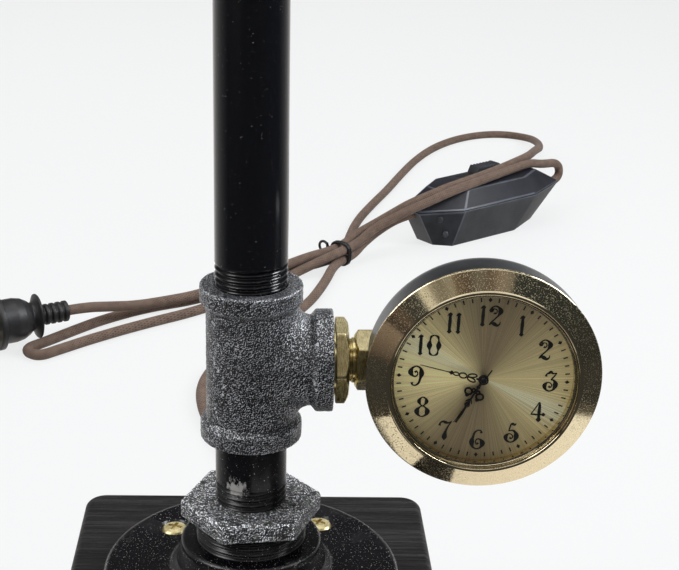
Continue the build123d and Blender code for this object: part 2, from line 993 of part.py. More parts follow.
def bulb_cap():
    outer = bulb_cap_radius
    points = [
        (0, 0),
        (bulb_tip_radius - 1, 0),
        (bulb_tip_radius, bulb_tip_height),
        (bulb_tip_radius, bulb_tip_height + 0.01),
        (9.0, bulb_tip_height + 1.2),
        (outer - 0.9, bulb_tip_height + 3.0),
    ]
    pitch = 3.0
    start = bulb_tip_height + 3.4
    for ring in range(cap_thread_rings):
        points.append((outer - 0.9, start + ring * pitch))
        points.append((outer, start + (ring + 0.3) * pitch))
        points.append((outer, start + (ring + 0.6) * pitch))
    top = bulb_tip_height + bulb_cap_height
    points += [
        (outer - 0.9, start + cap_thread_rings * pitch),
        (outer, top - 2),
        (outer, top),
        (0, top),
    ]
    hollow = Pos(0, 0, bulb_tip_height + 3.0) * rod(outer - 0.9 - bulb_cap_wall, bulb_cap_height)
    return Pos(head_x, 0, bulb_bottom) * (turned(points) - hollow)


def glass_side(inset):
    # the pear shape of the bulb, as (radius, height) points
    neck = min(glass_neck, bulb_cap_radius - 0.9 - bulb_cap_wall - running_fit) - inset
    wide = glass_radius - inset
    crown = glass_height - glass_crown - inset
    return [
        (neck, 0),
        (neck, 12),
        (neck + (wide - neck) * 0.42, glass_crown * 0.47),
        (neck + (wide - neck) * 0.86, glass_crown * 0.79),
        (wide, glass_crown),
        (wide * 0.866, glass_crown + crown * 0.5),
        (wide * 0.5, glass_crown + crown * 0.866),
        (0, glass_crown + crown),
    ]


def glass_solid(inset, low):
    points = glass_side(inset)
    side = Spline(*points, tangents=[(0, 1), (-1, 0)])
    closing = Polyline(points[-1], (0, low), (points[0][0], low), points[0])
    outline = make_face(side + closing)
    return revolve(Plane.XZ * outline, Axis.Z)


def bulb_glass():
    glass = glass_solid(0, -0.01) - glass_solid(glass_wall, -1)
    return Pos(head_x, 0, glass_bottom) * glass


def bulb_stem():
    foot = turned(
        [
            (0, 1),
            (stem_radius * 2, 1),
            (stem_radius * 1.5, 6),
            (stem_radius, 12),
            (stem_radius * 0.7, stem_height - 6),
            (stem_radius * 0.9, stem_height - 1),
            (0, stem_height),
        ]
    )
    post = Pos(0, 0, stem_height - 2) * rod(stem_post, filament_high - stem_height)
    return Pos(head_x, 0, glass_bottom) * (foot + post)


def bulb_filament():
    rods = []
    for index in range(filament_rods):
        turn = 360 / filament_rods * index
        low = Vector(filament_low_radius, 0, filament_low + stem_height * 0.2)
        high = Vector(filament_high_radius, 0, filament_high)
        lean = high - low
        strand = Plane(origin=low, z_dir=lean) * rod(filament_rod, lean.length)
        rods.append(Pos(head_x, 0, glass_bottom) * Rot(0, 0, turn) * strand)
    return Compound(rods)


# Wiring
def lower_wires():
    # from the connectors in the base up to the top of the riser
    wires = []
    stop = arm_z - 5
    for side in (-1, 1):
        path = [
            (side * (connector_start + 3), -wire_offset, wire_level),
            (side * wire_spacing, -wire_offset, wire_level),
            (side * wire_spacing, -wire_offset, stop),
        ]
        wires.append(swept(path, [4.0], wire_radius))
    return Compound(wires)


def cord_cores():
    # from the end of the cord to the connectors
    cores = []
    for side in (-1, 1):
        path = [
            (side * 1.4, cord_start, exit_height),
            (side * 1.4, cord_start - 14, exit_height),
            (side * 6, wire_offset, wire_level),
            (side * (connector_start + 3), wire_offset, wire_level),
        ]
        cores.append(swept(path, [6.0, 4.0], wire_radius))
    return Compound(cores)


def wire_connectors():
    nuts = []
    mouth = wire_offset + wire_radius + 0.2
    tip = connector_radius * 0.62
    for side in (-1, 1):
        cone = turned(
            [
                (mouth, 0),
                (connector_radius, 0),
                (tip, connector_length),
                (0, connector_length),
                (0, connector_length / 2),
                (mouth, connector_length / 2),
            ]
        )
        place = along_x if side > 0 else against_x
        nuts.append(Pos(side * connector_start, 0, wire_level) * place * cone)
    return Compound(nuts)


def arm_wires():
    wires = []
    for side in (-1, 1):
        start = Pos(-elbow_bend / 2, side * wire_offset, arm_z)
        wires.append(start * against_x * rod(wire_radius, -head_x - elbow_bend))
    return Compound(wires)


def head_wires():
    wires = []
    for side in (-1, 1):
        start = Pos(head_x, side * wire_offset, arm_z)
        wires.append(start * rod(wire_radius, socket_bottom + 2 - arm_z))
    return Compound(wires)


# Dimmer, drawn along +X about the middle of its underside
dimmer_at = Pos(*dimmer_centre, 0) * Rot(0, 0, dimmer_turn)


def eight_sided(plan, inset, height):
    # the plan of the body: straight sides that draw in to narrow ends
    corners = [(x - inset if x > 0 else x + inset, side - inset) for x, side in plan]
    corners += [(x, -y) for x, y in reversed(corners)]
    return Pos(0, 0, height) * make_face(Polyline(*corners, close=True))


def cord_ways():
    # the holes the cord goes through, one in each end, cut in both shells
    ways = []
    for side in (-1, 1):
        start = Pos(side * (dimmer_reach - 12), 0, dimmer_entry)
        place = along_x if side > 0 else against_x
        ways.append(start * place * rod(cord_radius + running_fit, 13))
    return ways


def dimmer_screw_places():
    return [Pos(along, 0, 0) for along in dimmer_screw_spots]


def dimmer_low_shell():
    body = loft([eight_sided(foot_plan, 0, 0), eight_sided(seam_plan, 0, dimmer_seam)])
    body -= loft(
        [
            eight_sided(foot_plan, dimmer_wall, dimmer_wall),
            eight_sided(seam_plan, dimmer_wall, dimmer_seam + 0.5),
        ]
    )
    pillar = rod(dimmer_screw + 1.5, dimmer_seam - dimmer_wall - 3)
    for place in dimmer_screw_places():
        body += place * Pos(0, 0, dimmer_wall / 2) * pillar
        body -= place * rod(dimmer_screw_head, 1.3)
        body -= place * rod(dimmer_screw + running_fit, dimmer_seam)
    for way in cord_ways():
        body -= way
    return dimmer_at * body


def dimmer_top_shell():
    low = dimmer_seam + running_fit
    body = loft([eight_sided(seam_plan, 0.3, low), eight_sided(roof_plan, 0, dimmer_height)])
    body -= loft(
        [
            eight_sided(seam_plan, 0.3 + dimmer_wall, low - 0.5),
            eight_sided(roof_plan, dimmer_wall, dimmer_height - dimmer_wall),
        ]
    )
    for way in cord_ways():
        body -= way
    slot = extrude(Rectangle(slot_length, slot_width), dimmer_wall + 2)
    body -= Pos(slot_middle, slot_side, dimmer_height - dimmer_wall - 1) * slot
    return dimmer_at * body


def dimmer_slider():
    # a ridged thumb piece on top, with its stem down through the slot
    low = dimmer_height + seat_gap
    grip = extrude(Rectangle(slider_length, slider_width), slider_height)
    grip = chamfer(grip.faces().sort_by(Axis.Z)[-1].edges(), 1.6)
    for rib in range(-2, 3):
        groove = Pos(rib * 2.6, 0, slider_height - 0.6) * extrude(
            Rectangle(0.9, slider_width), 1
        )
        grip -= groove
    stem_length = dimmer_wall + 3
    stem = Pos(0, 0, -stem_length) * extrude(
        Rectangle(6, slot_width - 2 * running_fit), stem_length + 0.5
    )
    return dimmer_at * Pos(slider_start, slot_side, low) * (grip + stem)


def dimmer_board():
    bottom = (Align.CENTER, Align.CENTER, Align.MIN)
    board = Box(board_length, board_width, board_thickness, align=bottom)
    slot_at = slot_middle - board_middle
    track = Pos(slot_at, slot_side, board_thickness) * Box(slot_length, 6, 16, align=bottom)
    choke = Pos(-18, -7, board_thickness) * rod(4.2, 8)
    sink = Pos(12, -7, board_thickness) * Box(12, 4, 12, align=bottom)
    return dimmer_at * Pos(board_middle, 0, board_level) * (board + track + choke + sink)


def dimmer_screws():
    screw = rod(dimmer_screw_head - 0.2, 1.2) + rod(dimmer_screw, dimmer_seam - 5)
    screw -= extrude(Rectangle(4, 0.8), 0.6)
    screw -= extrude(Rectangle(0.8, 4), 0.6)
    screws = [dimmer_at * place * screw for place in dimmer_screw_places()]
    return Compound(screws)


# Twist tie round the four strands of the folded cord
def twist_tie():
    wire = tie_wire / 2
    outer = Rectangle(tie_inner_width + 2 * tie_wire, tie_inner_height + 2 * tie_wire)
    inner = Rectangle(tie_inner_width, tie_inner_height)
    outer = fillet(outer.vertices(), 3.0 + tie_wire)
    inner = fillet(inner.vertices(), 3.0)
    band = extrude(outer - inner, tie_width / 2, both=True)
    # the twisted ends are bent into a small eye beside the strands
    eye = Pos(tie_inner_width / 2 + tie_wire + tie_loop - 0.4, tie_loop - 1, 0) * (
        rod(tie_loop + wire, tie_wire) - rod(tie_loop - wire, tie_wire)
    )
    turn = math.radians(tie_turn)
    ring = Plane(
        origin=(*tie_place, tie_inner_height / 2 + tie_wire + 0.02),
        x_dir=(-math.sin(turn), math.cos(turn), 0),
        z_dir=(math.cos(turn), math.sin(turn), 0),
    )
    return ring * (band + eye)


# Plug, drawn along +X from the end of its strain relief, and then turned
plug_at = Pos(*plug_end) * Rot(0, 0, plug_turn)


def plug_body():
    points = [(0, 0), (relief_radius - 0.4, 0)]
    pitch = relief_length / relief_ribs
    for rib in range(relief_ribs):
        start = rib * pitch
        points += [
            (relief_radius, start + 0.4),
            (relief_radius, start + pitch - 1.3),
            (relief_radius - 1.0, start + pitch - 1.0),
            (relief_radius - 1.0, start + pitch - 0.3),
        ]
    guard_end = relief_length + guard_length
    body_end = guard_end + plug_body_length
    face_end = body_end + plug_face_length
    points += [
        (relief_radius + 0.6, relief_length + 0.1),
        (guard_radius, relief_length + 1.2),
        (guard_radius, relief_length + 2.2),
        (plug_body_radius * 0.62, guard_end),
        (plug_body_radius * 0.8, guard_end + 3),
        (plug_body_radius, guard_end + 8),
        (plug_body_radius, body_end - 1),
        (plug_face_radius, body_end),
        (plug_face_radius, face_end - 0.6),
        (plug_face_radius - 0.6, face_end),
        (0, face_end),
    ]
    return plug_at * along_x * turned(points)


plug_face_x = relief_length + guard_length + plug_body_length + plug_face_length


def plug_blades():
    blades = []
    for side in (-1, 1):
        blade = Box(
            blade_length, blade_thickness, blade_height, align=(Align.MIN, Align.CENTER, Align.CENTER)
        )
        blade -= Pos(blade_length - 4, 0, 0) * Rot(90, 0, 0) * Cylinder(1.5, blade_thickness + 1)
        blades.append(plug_at * Pos(plug_face_x, side * blade_spacing / 2, 1.5) * blade)
    pin = rod(pin_radius, pin_length)
    pin = fillet(ring_edges(pin, pin_radius, pin_length), 1.6)
    blades.append(plug_at * Pos(plug_face_x, 0, -pin_drop) * along_x * pin)
    return Compound(blades)


# Cord, in two lengths with the dimmer between them
def beside_dimmer(along, across, height):
    # a point given along and across the dimmer, turned with it
    spot = dimmer_at * Pos(along, across, height)
    return tuple(spot.position)


def in_tie(along, side, level):
    # a point in one of the four places inside the tie
    spot = Pos(*tie_place, 0) * Rot(0, 0, tie_turn) * Pos(along, side * tie_strand, 0)
    low = tie_wire + 0.1 + cord_radius
    height = low if level == 0 else low + 2 * tie_strand
    return (spot.position.X, spot.position.Y, height)


def before_plug(distance):
    # a point on the plug's axis, short of its strain relief
    turn = math.radians(plug_turn)
    return (
        plug_end[0] - distance * math.cos(turn),
        plug_end[1] - distance * math.sin(turn),
        plug_end[2],
    )


dimmer_door = dimmer_reach - cord_tuck

lamp_side_route = [
    (0, cord_start, exit_height),
    (0, 94, exit_height),
    (-1.5, 122, 8.8),
    (-7, 150, floor_rest),
    (-16.5, 179, floor_rest),
    (-25.5, 209, floor_rest),
    (-26, 240, floor_rest),
    (-12, 276, floor_rest),
    (9, 308, floor_rest),
    (25.5, 336, floor_rest),
    (36, 370, 3.2),
    in_tie(-10, -1, 0),
    in_tie(9, -1, 0),
    (59.5, 424, 7.2),
    (69, 432.2, 12.8),
    beside_dimmer(-67, 0, dimmer_entry),
    beside_dimmer(-dimmer_door, 0, dimmer_entry),
]
plug_side_route = [
    beside_dimmer(dimmer_door, 0, dimmer_entry),
    beside_dimmer(67.4, 0, 19.3),
    beside_dimmer(67.2, 0.5, 31.3),
    beside_dimmer(50, -0.5, 32.9),
    beside_dimmer(37, -2.4, 36.5),
    beside_dimmer(10, -7.5, 36.1),
    beside_dimmer(-15.7, -13, 36.3),
    (112, 439.2, 35),
    (98.3, 430, 31.5),
    (86.4, 426, 27.5),
    (77.8, 424, 23.5),
    (66.4, 421, 18.3),
    (58.3, 416, 12.2),
    in_tie(6, -1, 1),
    in_tie(-8, -1, 1),
    (30, 388.5, 7.2),
    (14, 377.5, floor_rest),
    (-8, 354, floor_rest),
    (-29.7, 329, floor_rest),
    (-60.8, 307, floor_rest),
    (-84, 287.5, floor_rest),
    (-98, 273.9, floor_rest),
    (-107.5, 264.7, floor_rest),
    (-115.9, 273.3, floor_rest),
    (-106, 284, floor_rest),
    (-93, 300, floor_rest),
    (-79.7, 315, floor_rest),
    (-58, 332, floor_rest),
    (-34, 343, floor_rest),
    (-9, 366, floor_rest),
    (11, 385.5, floor_rest),
    in_tie(-9, 1, 0),
    in_tie(9, 1, 0),
    (51.5, 441, floor_rest),
    (59, 480, floor_rest),
    (71, 516, floor_rest),
    (83, 548, floor_rest),
    (95, 585, floor_rest),
    (110, 627, floor_rest),
    (128.4, 663, floor_rest),
    (152, 689, floor_rest),
    (178, 698.5, floor_rest),
    (198.5, 684, 3.5),
    (200.5, 652, 8),
    (194, 610, 15.5),
    (184, 566, 26.5),
    (177, 540, 32),
    beside_dimmer(49.5, 10.3, 36),
    beside_dimmer(30, 4, 36.2),
    beside_dimmer(10, -1.7, 36.2),
    beside_dimmer(-12, -6.6, 36.2),
    (111.3, 445.8, 35.8),
    (99, 437.5, 33),
    (87, 433, 29.2),
    (78.2, 430, 24.8),
    (66.8, 427, 18.8),
    (56, 422.5, 14),
    in_tie(7, 1, 1),
    in_tie(-8, 1, 1),
    (28, 394, 10),
    (13, 381, 8.6),
    (-9, 361, 8.4),
    (-32, 336, 8.4),
    (-50, 324.5, 9),
    (-64, 315.8, 9.8),
    (-76, 308.2, 12.2),
    before_plug(10),
    plug_end,
]


def cord_length(points, radii):
    path = FilletPolyline(*points, radius=radii)
    return path.length


def cord_tube(name, points):
    radii = corner_radii(points)
    tube_solid = swept(points, radii, cord_radius)
    length = cord_length(points, radii)
    expected = math.pi * cord_radius**2 * length
    print(name, "length", round(length), "volume ratio", round(tube_solid.volume / expected, 4))
    print("  bend radii", [round(radius, 1) for radius in radii])
    return tube_solid


save("base_block", base_block())
save("base_pad", base_pad())
save("base_cover", base_cover())
save("cover_screws", cover_screws())
save("cord_gland", cord_gland())
save("floor_flange", floor_flange())
save("flange_screws", flange_screws())
save("hex_bushing", hex_bushing())
save("lower_nipple", lower_nipple())
save("pipe_tee", pipe_tee())
save("riser_pipe", riser_pipe())
save("brass_bushing", brass_bushing())
save("brass_adapter", brass_adapter())
save("clock_case", clock_case())
save("clock_bezel", clock_bezel())
save("clock_crystal", clock_crystal())
save("clock_dial", clock_dial())
save("insert_body", insert_body())
save("insert_gasket", insert_gasket())
save("movement_housing", movement_housing())
save("movement_lid", movement_lid())
save("movement_battery", movement_battery())
save("movement_coil", movement_coil())
save("movement_board", movement_board())
save("hand_arbor", hand_arbor())
save("setting_knob", setting_knob())
save("hour_hand", hour_hand())
save("minute_hand", minute_hand())
save("second_hand", second_hand())
save("upper_elbow", upper_elbow())
save("arm_nipple", arm_nipple())
save("head_elbow", head_elbow())
save("head_nipple", head_nipple())
save("socket_cup", socket_cup())
save("lamp_socket", lamp_socket())
save("socket_ring", socket_ring())
save("screw_shell", screw_shell())
save("centre_contact", centre_contact())
save("bulb_cap", bulb_cap())
save("bulb_glass", bulb_glass())
save("bulb_stem", bulb_stem())
save("bulb_filament", bulb_filament())
save("lower_wires", lower_wires())
save("cord_cores", cord_cores())
save("wire_connectors", wire_connectors())
save("arm_wires", arm_wires())
save("head_wires", head_wires())
save("dimmer_low_shell", dimmer_low_shell())
save("dimmer_top_shell", dimmer_top_shell())
save("dimmer_slider", dimmer_slider())
save("dimmer_board", dimmer_board())
save("dimmer_screws", dimmer_screws())
save("twist_tie", twist_tie())
save("plug_body", plug_body())
save("plug_blades", plug_blades())
save("cord_lamp_side", cord_tube("cord_lamp_side", lamp_side_route))
save("cord_plug_side", cord_tube("cord_plug_side", plug_side_route))
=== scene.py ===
import math
import bmesh
import bpy
import numpy as np
from mathutils import Matrix, Vector, noise


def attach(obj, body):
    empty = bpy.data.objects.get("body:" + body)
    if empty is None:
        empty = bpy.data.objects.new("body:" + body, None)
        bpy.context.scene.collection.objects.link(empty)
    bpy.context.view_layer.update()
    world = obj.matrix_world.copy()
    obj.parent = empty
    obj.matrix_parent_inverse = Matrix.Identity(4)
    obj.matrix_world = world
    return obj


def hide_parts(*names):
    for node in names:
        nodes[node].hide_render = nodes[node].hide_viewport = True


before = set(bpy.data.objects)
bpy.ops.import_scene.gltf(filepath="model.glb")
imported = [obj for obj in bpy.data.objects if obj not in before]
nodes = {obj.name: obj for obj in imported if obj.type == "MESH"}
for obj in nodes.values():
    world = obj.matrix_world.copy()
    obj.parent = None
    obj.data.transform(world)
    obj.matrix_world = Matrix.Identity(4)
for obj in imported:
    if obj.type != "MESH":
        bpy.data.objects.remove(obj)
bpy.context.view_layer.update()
mm = 0.001
print("frame loaded,", len(nodes), "nodes")


# small tools for the node trees
def addNode(material, kind, values=None, **settings):
    node = material.node_tree.nodes.new(kind)
    for key, value in settings.items():
        setattr(node, key, value)
    for key, value in (values or {}).items():
        if isinstance(value, bpy.types.NodeSocket):
            material.node_tree.links.new(value, node.inputs[key])
        else:
            node.inputs[key].default_value = value
    return node


def newFinish(name, color, rough, metal=0.0, **extra):
    # a material whose even values sit on the shader itself
    material = bpy.data.materials.new(name)
    material.use_nodes = True
    shader = material.node_tree.nodes["Principled BSDF"]
    shader.inputs["Base Color"].default_value = (*color, 1)
    shader.inputs["Roughness"].default_value = rough
    shader.inputs["Metallic"].default_value = metal
    for key, value in extra.items():
        shader.inputs[key.replace("_", " ")].default_value = value
    material.diffuse_color = (*color, 1)
    return material, shader


def placeInMm(material, stretch=(1, 1, 1), shift=(0, 0, 0)):
    # object coordinates in millimetres, squeezed along each axis, then moved
    coords = addNode(material, "ShaderNodeTexCoord").outputs["Object"]
    scale = tuple(share / mm for share in stretch)
    mapping = addNode(material, "ShaderNodeMapping", {"Vector": coords, "Scale": scale, "Location": shift})
    return mapping.outputs["Vector"]


def speckle(material, vector, size, detail=2.0, rough=0.5):
    node = addNode(
        material, "ShaderNodeTexNoise",
        {"Vector": vector, "Scale": 1.0 / size, "Detail": detail, "Roughness": rough},
    )
    return node.outputs["Fac"]


def graded(material, factor, stops):
    # a colour ramp from (position, colour) stops; greyed takes plain levels
    ramp = addNode(material, "ShaderNodeValToRGB", {"Fac": factor})
    points = ramp.color_ramp.elements
    while len(points) < len(stops):
        points.new(0.5)
    for point, (spot, color) in zip(points, stops):
        point.position = spot
        point.color = (*color, 1)
    return ramp.outputs["Color"]


def greyed(material, factor, stops):
    return graded(material, factor, [(spot, (value,) * 3) for spot, value in stops])


def maths(material, kind, *terms):
    return addNode(material, "ShaderNodeMath", dict(enumerate(terms)), operation=kind).outputs[0]


def vectorMaths(material, kind, *terms):
    return addNode(material, "ShaderNodeVectorMath", dict(enumerate(terms)), operation=kind).outputs


def axes(material, vector):
    return addNode(material, "ShaderNodeSeparateXYZ", {0: vector}).outputs


def mixed(material, factor, first, second, blend="MIX"):
    node = addNode(material, "ShaderNodeMix", {0: factor, 6: first, 7: second},
                   data_type="RGBA", blend_type=blend)
    return node.outputs[2]


def join(material, output, shader, socket):
    material.node_tree.links.new(output, shader.inputs[socket])


def relief(material, shader, height, depth, strength=1.0):
    # depth in millimetres
    values = {"Height": height, "Distance": depth * mm, "Strength": strength}
    bump = addNode(material, "ShaderNodeBump", values)
    join(material, bump.outputs["Normal"], shader, "Normal")


def mixedShader(material, factor, first, second):
    return addNode(material, "ShaderNodeMixShader", {0: factor, 1: first.outputs[0], 2: second.outputs[0]})


def showShader(material, shader, target="Material Output"):
    join(material, shader.outputs[0], material.node_tree.nodes[target], "Surface")


def toned(color, level):
    return tuple(part * level for part in color)


# small tools for the meshes
def newObject(name, data):
    thing = bpy.data.objects.new(name, data)
    bpy.context.scene.collection.objects.link(thing)
    return thing


def newPiece(name, mesh, body, slot, material, *replaced):
    piece = newObject(name, mesh)
    mesh.materials.clear()
    mesh.materials.append(material)
    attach(piece, body)
    if replaced:
        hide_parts(*replaced)
    return piece


def finishedMesh(holder, *helpers):
    # the mesh that the modifiers leave; the objects that carried them go
    graph = bpy.context.evaluated_depsgraph_get()
    graph.update()
    mesh = bpy.data.meshes.new_from_object(holder.evaluated_get(graph))
    for thing in (holder, *helpers):
        bpy.data.objects.remove(thing)
    return mesh


def smoothMesh(mesh, degrees=32):
    mesh.shade_smooth()
    mesh.set_sharp_from_angle(angle=math.radians(degrees))
    return mesh


def meshFrom(name, points, faces, matrix=None, degrees=32):
    # points in millimetres
    mesh = bpy.data.meshes.new(name)
    spots = [Vector(point) * mm for point in points]
    if matrix:
        spots = [matrix @ spot for spot in spots]
    mesh.from_pydata(spots, [], faces)
    work = bmesh.new()
    work.from_mesh(mesh)
    bmesh.ops.remove_doubles(work, verts=work.verts, dist=1e-7)
    bmesh.ops.recalc_face_normals(work, faces=work.faces)
    work.to_mesh(mesh)
    work.free()
    return smoothMesh(mesh, degrees)


def rounded(points, size, steps=3):
    # a profile with its corners eased, each by no more than the runs allow
    eased = [points[0]]
    for before, corner, after in zip(points, points[1:], points[2:]):
        before, corner, after = Vector(before), Vector(corner), Vector(after)
        reach = min(size, (corner - before).length * 0.45, (after - corner).length * 0.45)
        start = corner + (before - corner).normalized() * reach
        end = corner + (after - corner).normalized() * reach
        for step in range(steps + 1):
            share = step / steps
            eased.append(tuple(start.lerp(corner, share).lerp(corner.lerp(end, share), share)))
    eased.append(points[-1])
    return eased


def circle(radius, height, count):
    turns = [2 * math.pi * step / count for step in range(count)]
    return [(radius * math.cos(turn), radius * math.sin(turn), height) for turn in turns]


def ringFaces(rings, count, closed=False):
    # four-sided faces between rings of points
    faces = []
    for ring in range(rings if closed else rings - 1):
        here, there = ring * count, (ring + 1) % rings * count
        for step in range(count):
            after = (step + 1) % count
            faces.append((here + step, here + after, there + after, there + step))
    return faces


def turnedMesh(name, profile, matrix=None, segments=96, closed=False, degrees=32, shape=None):
    # a turned solid from (radius, height) points, about Z
    spots = [spot for radius, height in profile for spot in circle(radius, height, segments)]
    if shape:
        spots = [shape(*spot) for spot in spots]
    return meshFrom(name, spots, ringFaces(len(profile), segments, closed), matrix, degrees)


def boredMesh(name, spots, rings, bore, length, matrix, degrees, lined=True):
    # rings of outer points, closed by flat ends round a bore that may be lined
    count = len(spots) // rings
    faces = ringFaces(rings, count)
    spots = spots + circle(bore, length, count) + circle(bore, 0.0, count)
    last, top, low = ((rings + shift) * count for shift in (-1, 0, 1))
    for step in range(count):
        after = (step + 1) % count
        faces.append((last + step, last + after, top + after, top + step))
        if lined:
            faces.append((top + step, top + after, low + after, low + step))
        faces.append((low + step, low + after, after, step))
    return meshFrom(name, spots, faces, matrix, degrees)


def wireCurve(name, spots, radius, roundness):
    # a round wire or cord along points in millimetres
    curve = bpy.data.curves.new(name, "CURVE")
    curve.dimensions = "3D"
    curve.bevel_depth = radius * mm
    curve.bevel_resolution = roundness
    curve.use_fill_caps = True
    line = curve.splines.new("NURBS")
    line.points.add(len(spots) - 1)
    for point, spot in zip(line.points, spots):
        point.co = (*(Vector(spot) * mm), 1)
    line.order_u = 3
    line.use_endpoint_u = True
    return newObject(name, curve)


def place(x, y, z, turn=None):
    base = Matrix.Translation(Vector((x, y, z)) * mm)
    return base @ turn if turn else base


alongX = Matrix.Rotation(math.radians(90), 4, "Y")


# the camera; its pitch is downwards, and its spot is in millimetres
cameraSetup = {
    "spot": (5.3, -408.2, 291.2),
    "pitch": 18.41,
    "yaw": 0.93,
    "lens": 79.53,
    "shift": (0.1367, -0.0778),
    "clip": (0.01, 50),
}


def buildCamera():
    camera = bpy.data.cameras.new("camera")
    camera.lens = cameraSetup["lens"]
    camera.shift_x, camera.shift_y = cameraSetup["shift"]
    camera.clip_start, camera.clip_end = cameraSetup["clip"]
    holder = newObject("camera", camera)
    holder.location = Vector(cameraSetup["spot"]) * mm
    holder.rotation_euler = (math.radians(90 - cameraSetup["pitch"]), 0, math.radians(cameraSetup["yaw"]))
    bpy.context.scene.camera = holder


buildCamera()
print("camera set")


# the cord: a braided lead in two lengths, tied once
cord = {
    "width": 5.3,
    "lampRoute": [
        (0, 58, 14), (0, 94, 14), (-1.5, 122, 8.8), (-7, 150, 2.7),
        (-16.5, 179, 2.7), (-25.5, 209, 2.7), (-26, 240, 2.7), (-12, 276, 2.7),
        (9, 308, 2.7), (25.5, 336, 2.7), (36, 370, 3.2), (42.2, 397.6, 4.3),
        (53.7, 412.8, 4.3), (59.5, 424, 7.2), (69, 432.2, 12.8), (82.1, 437.3, 19.5),
        (91.2, 444.1, 19.5),
    ],
    "plugRoute": [
        (180.8, 510.3, 19.5), (190.2, 517.3, 19.3), (189.7, 517.6, 31.3), (176.5, 506.5, 32.9),
        (167.2, 497.3, 36.5), (148.5, 477.1, 36.1), (131.1, 457.4, 36.3), (112, 439.2, 35),
        (98.3, 430, 31.5), (86.4, 426, 27.5), (77.8, 424, 23.5), (66.4, 421, 18.3),
        (58.3, 416, 12.2), (51.8, 410.4, 9.9), (43.4, 399.2, 9.9), (30, 388.5, 7.2),
        (14, 377.5, 2.7), (-8, 354, 2.7), (-29.7, 329, 2.7), (-60.8, 307, 2.7),
        (-84, 287.5, 2.7), (-98, 273.9, 2.7), (-107.5, 264.7, 2.7), (-115.9, 273.3, 2.7),
        (-106, 284, 2.7), (-93, 300, 2.7), (-79.7, 315, 2.7), (-58, 332, 2.7),
        (-34, 343, 2.7), (-9, 366, 2.7), (11, 385.5, 2.7), (38.3, 401.8, 4.3),
        (49.2, 416.2, 4.3), (51.5, 441, 2.7), (59, 480, 2.7), (71, 516, 2.7),
        (83, 548, 2.7), (95, 585, 2.7), (110, 627, 2.7), (128.4, 663, 2.7),
        (152, 689, 2.7), (178, 698.5, 2.7), (198.5, 684, 3.5), (200.5, 652, 8),
        (194, 610, 15.5), (184, 566, 26.5), (177, 540, 32), (169.7, 514.9, 36), (157.7, 498.3, 36.2),
        (145, 481.8, 36.2), (130.3, 464.8, 36.2), (111.3, 445.8, 35.8), (99, 437.5, 33),
        (87, 433, 29.2), (78.2, 430, 24.8), (66.8, 427, 18.8), (56, 422.5, 14),
        (48, 414.6, 9.9), (38.9, 402.6, 9.9), (28, 394, 10), (13, 381, 8.6),
        (-9, 361, 8.4), (-32, 336, 8.4), (-50, 324.5, 9), (-64, 315.8, 9.8),
        (-76, 308.2, 12.2), (-88.2, 301.3, 14.4), (-97, 296.5, 14.4),
    ],
    "lampLength": 0.43,
    "plugLength": 1.53,
    "color": (0.035, 0.021, 0.016),
    "light": (0.2, 0.135, 0.1),
    "pitch": 2.6,               # of the braid, in millimetres along the cord
    "ends": 12,                 # threads round the cord
    "mottle": 0.35,
}


def braidFinish(name, length):
    # two sets of diagonal threads that cross each other
    material, shader = newFinish(name, cord["color"], 0.85, Sheen_Weight=0.08, Sheen_Roughness=0.4)
    parts = axes(material, addNode(material, "ShaderNodeTexCoord").outputs["UV"])
    along = maths(material, "MULTIPLY", parts[0], length / (cord["pitch"] * mm))
    around = maths(material, "MULTIPLY", parts[1], cord["ends"])
    waves = []
    for kind in ("ADD", "SUBTRACT"):
        phase = maths(material, "MULTIPLY", maths(material, kind, along, around), math.pi)
        waves.append(maths(material, "ABSOLUTE", maths(material, "SINE", phase)))
    height = maths(material, "MAXIMUM", *waves)
    tones = cord["color"], cord["light"]
    # the crowns of the threads take the light tone and the grooves between them the dark one: painted
    # highlight and painted shade
    crownsPaleGroovesShaded = greyed(material, height, [(0.35, 0), (0.95, 1)])
    threads = mixed(material, crownsPaleGroovesShaded, *((*tone, 1) for tone in tones))
    mottle = graded(material, speckle(material, placeInMm(material), 3.0), list(zip((0.3, 0.7), tones)))
    join(material, mixed(material, cord["mottle"], threads, mottle), shader, "Base Color")
    relief(material, shader, height, 0.16, 0.8)
    return material


def buildCord(name, route, length, node):
    piece = wireCurve(name, route, cord["width"] / 2, 5)
    piece.data.materials.append(braidFinish(name + "Braid", length))
    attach(piece, "lamp_base")
    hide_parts(node)


# the dimmer: two eight-sided shells, drawn about the middle of the underside
dimmer = {
    "center": (136.0, 477.2),
    "turn": 36.5,
    "seam": 22.0,
    "top": 33.0,
    # one half of each level's outline, as (along, aside) corners
    "footPlan": ((38.0, 5.0), (13.0, 15.7), (-38.5, 15.7), (-46.5, 7.0)),
    "seamPlan": ((58.5, 7.5), (26.5, 19.8), (-33.0, 19.8), (-58.5, 7.5)),
    "roofPlan": ((39.0, 6.0), (20.5, 14.5), (-26.0, 14.5), (-41.0, 6.0)),
    "edge": 0.9,
    "highlightEdgeWidth": 0.8,         # faces narrower than this get a paler colour: a painted highlight along the edges
    "sliderSize": (22.0, 8.0, 4.3),
    "sliderStart": 10.0,
    "ridges": 6,
    "ridgePitch": 2.6,
    "slotSide": 9.2,
    "slotMiddle": 1.0,
    "slotSize": (30.0, 4.0),
    "screwSpots": ((-46.6, -12.6, 17.5), (-42.0, -13.0, 7.5)),
    "screwWay": (-0.66, -0.72, 0.22),
    "color": (0.019, 0.0215, 0.026),
    "lidColor": (0.0045, 0.0052, 0.0105),
    "edgeHighlightColor": (0.055, 0.059, 0.074),
}
dimmerPlace = place(*dimmer["center"], 0, Matrix.Rotation(math.radians(dimmer["turn"]), 4, "Z"))


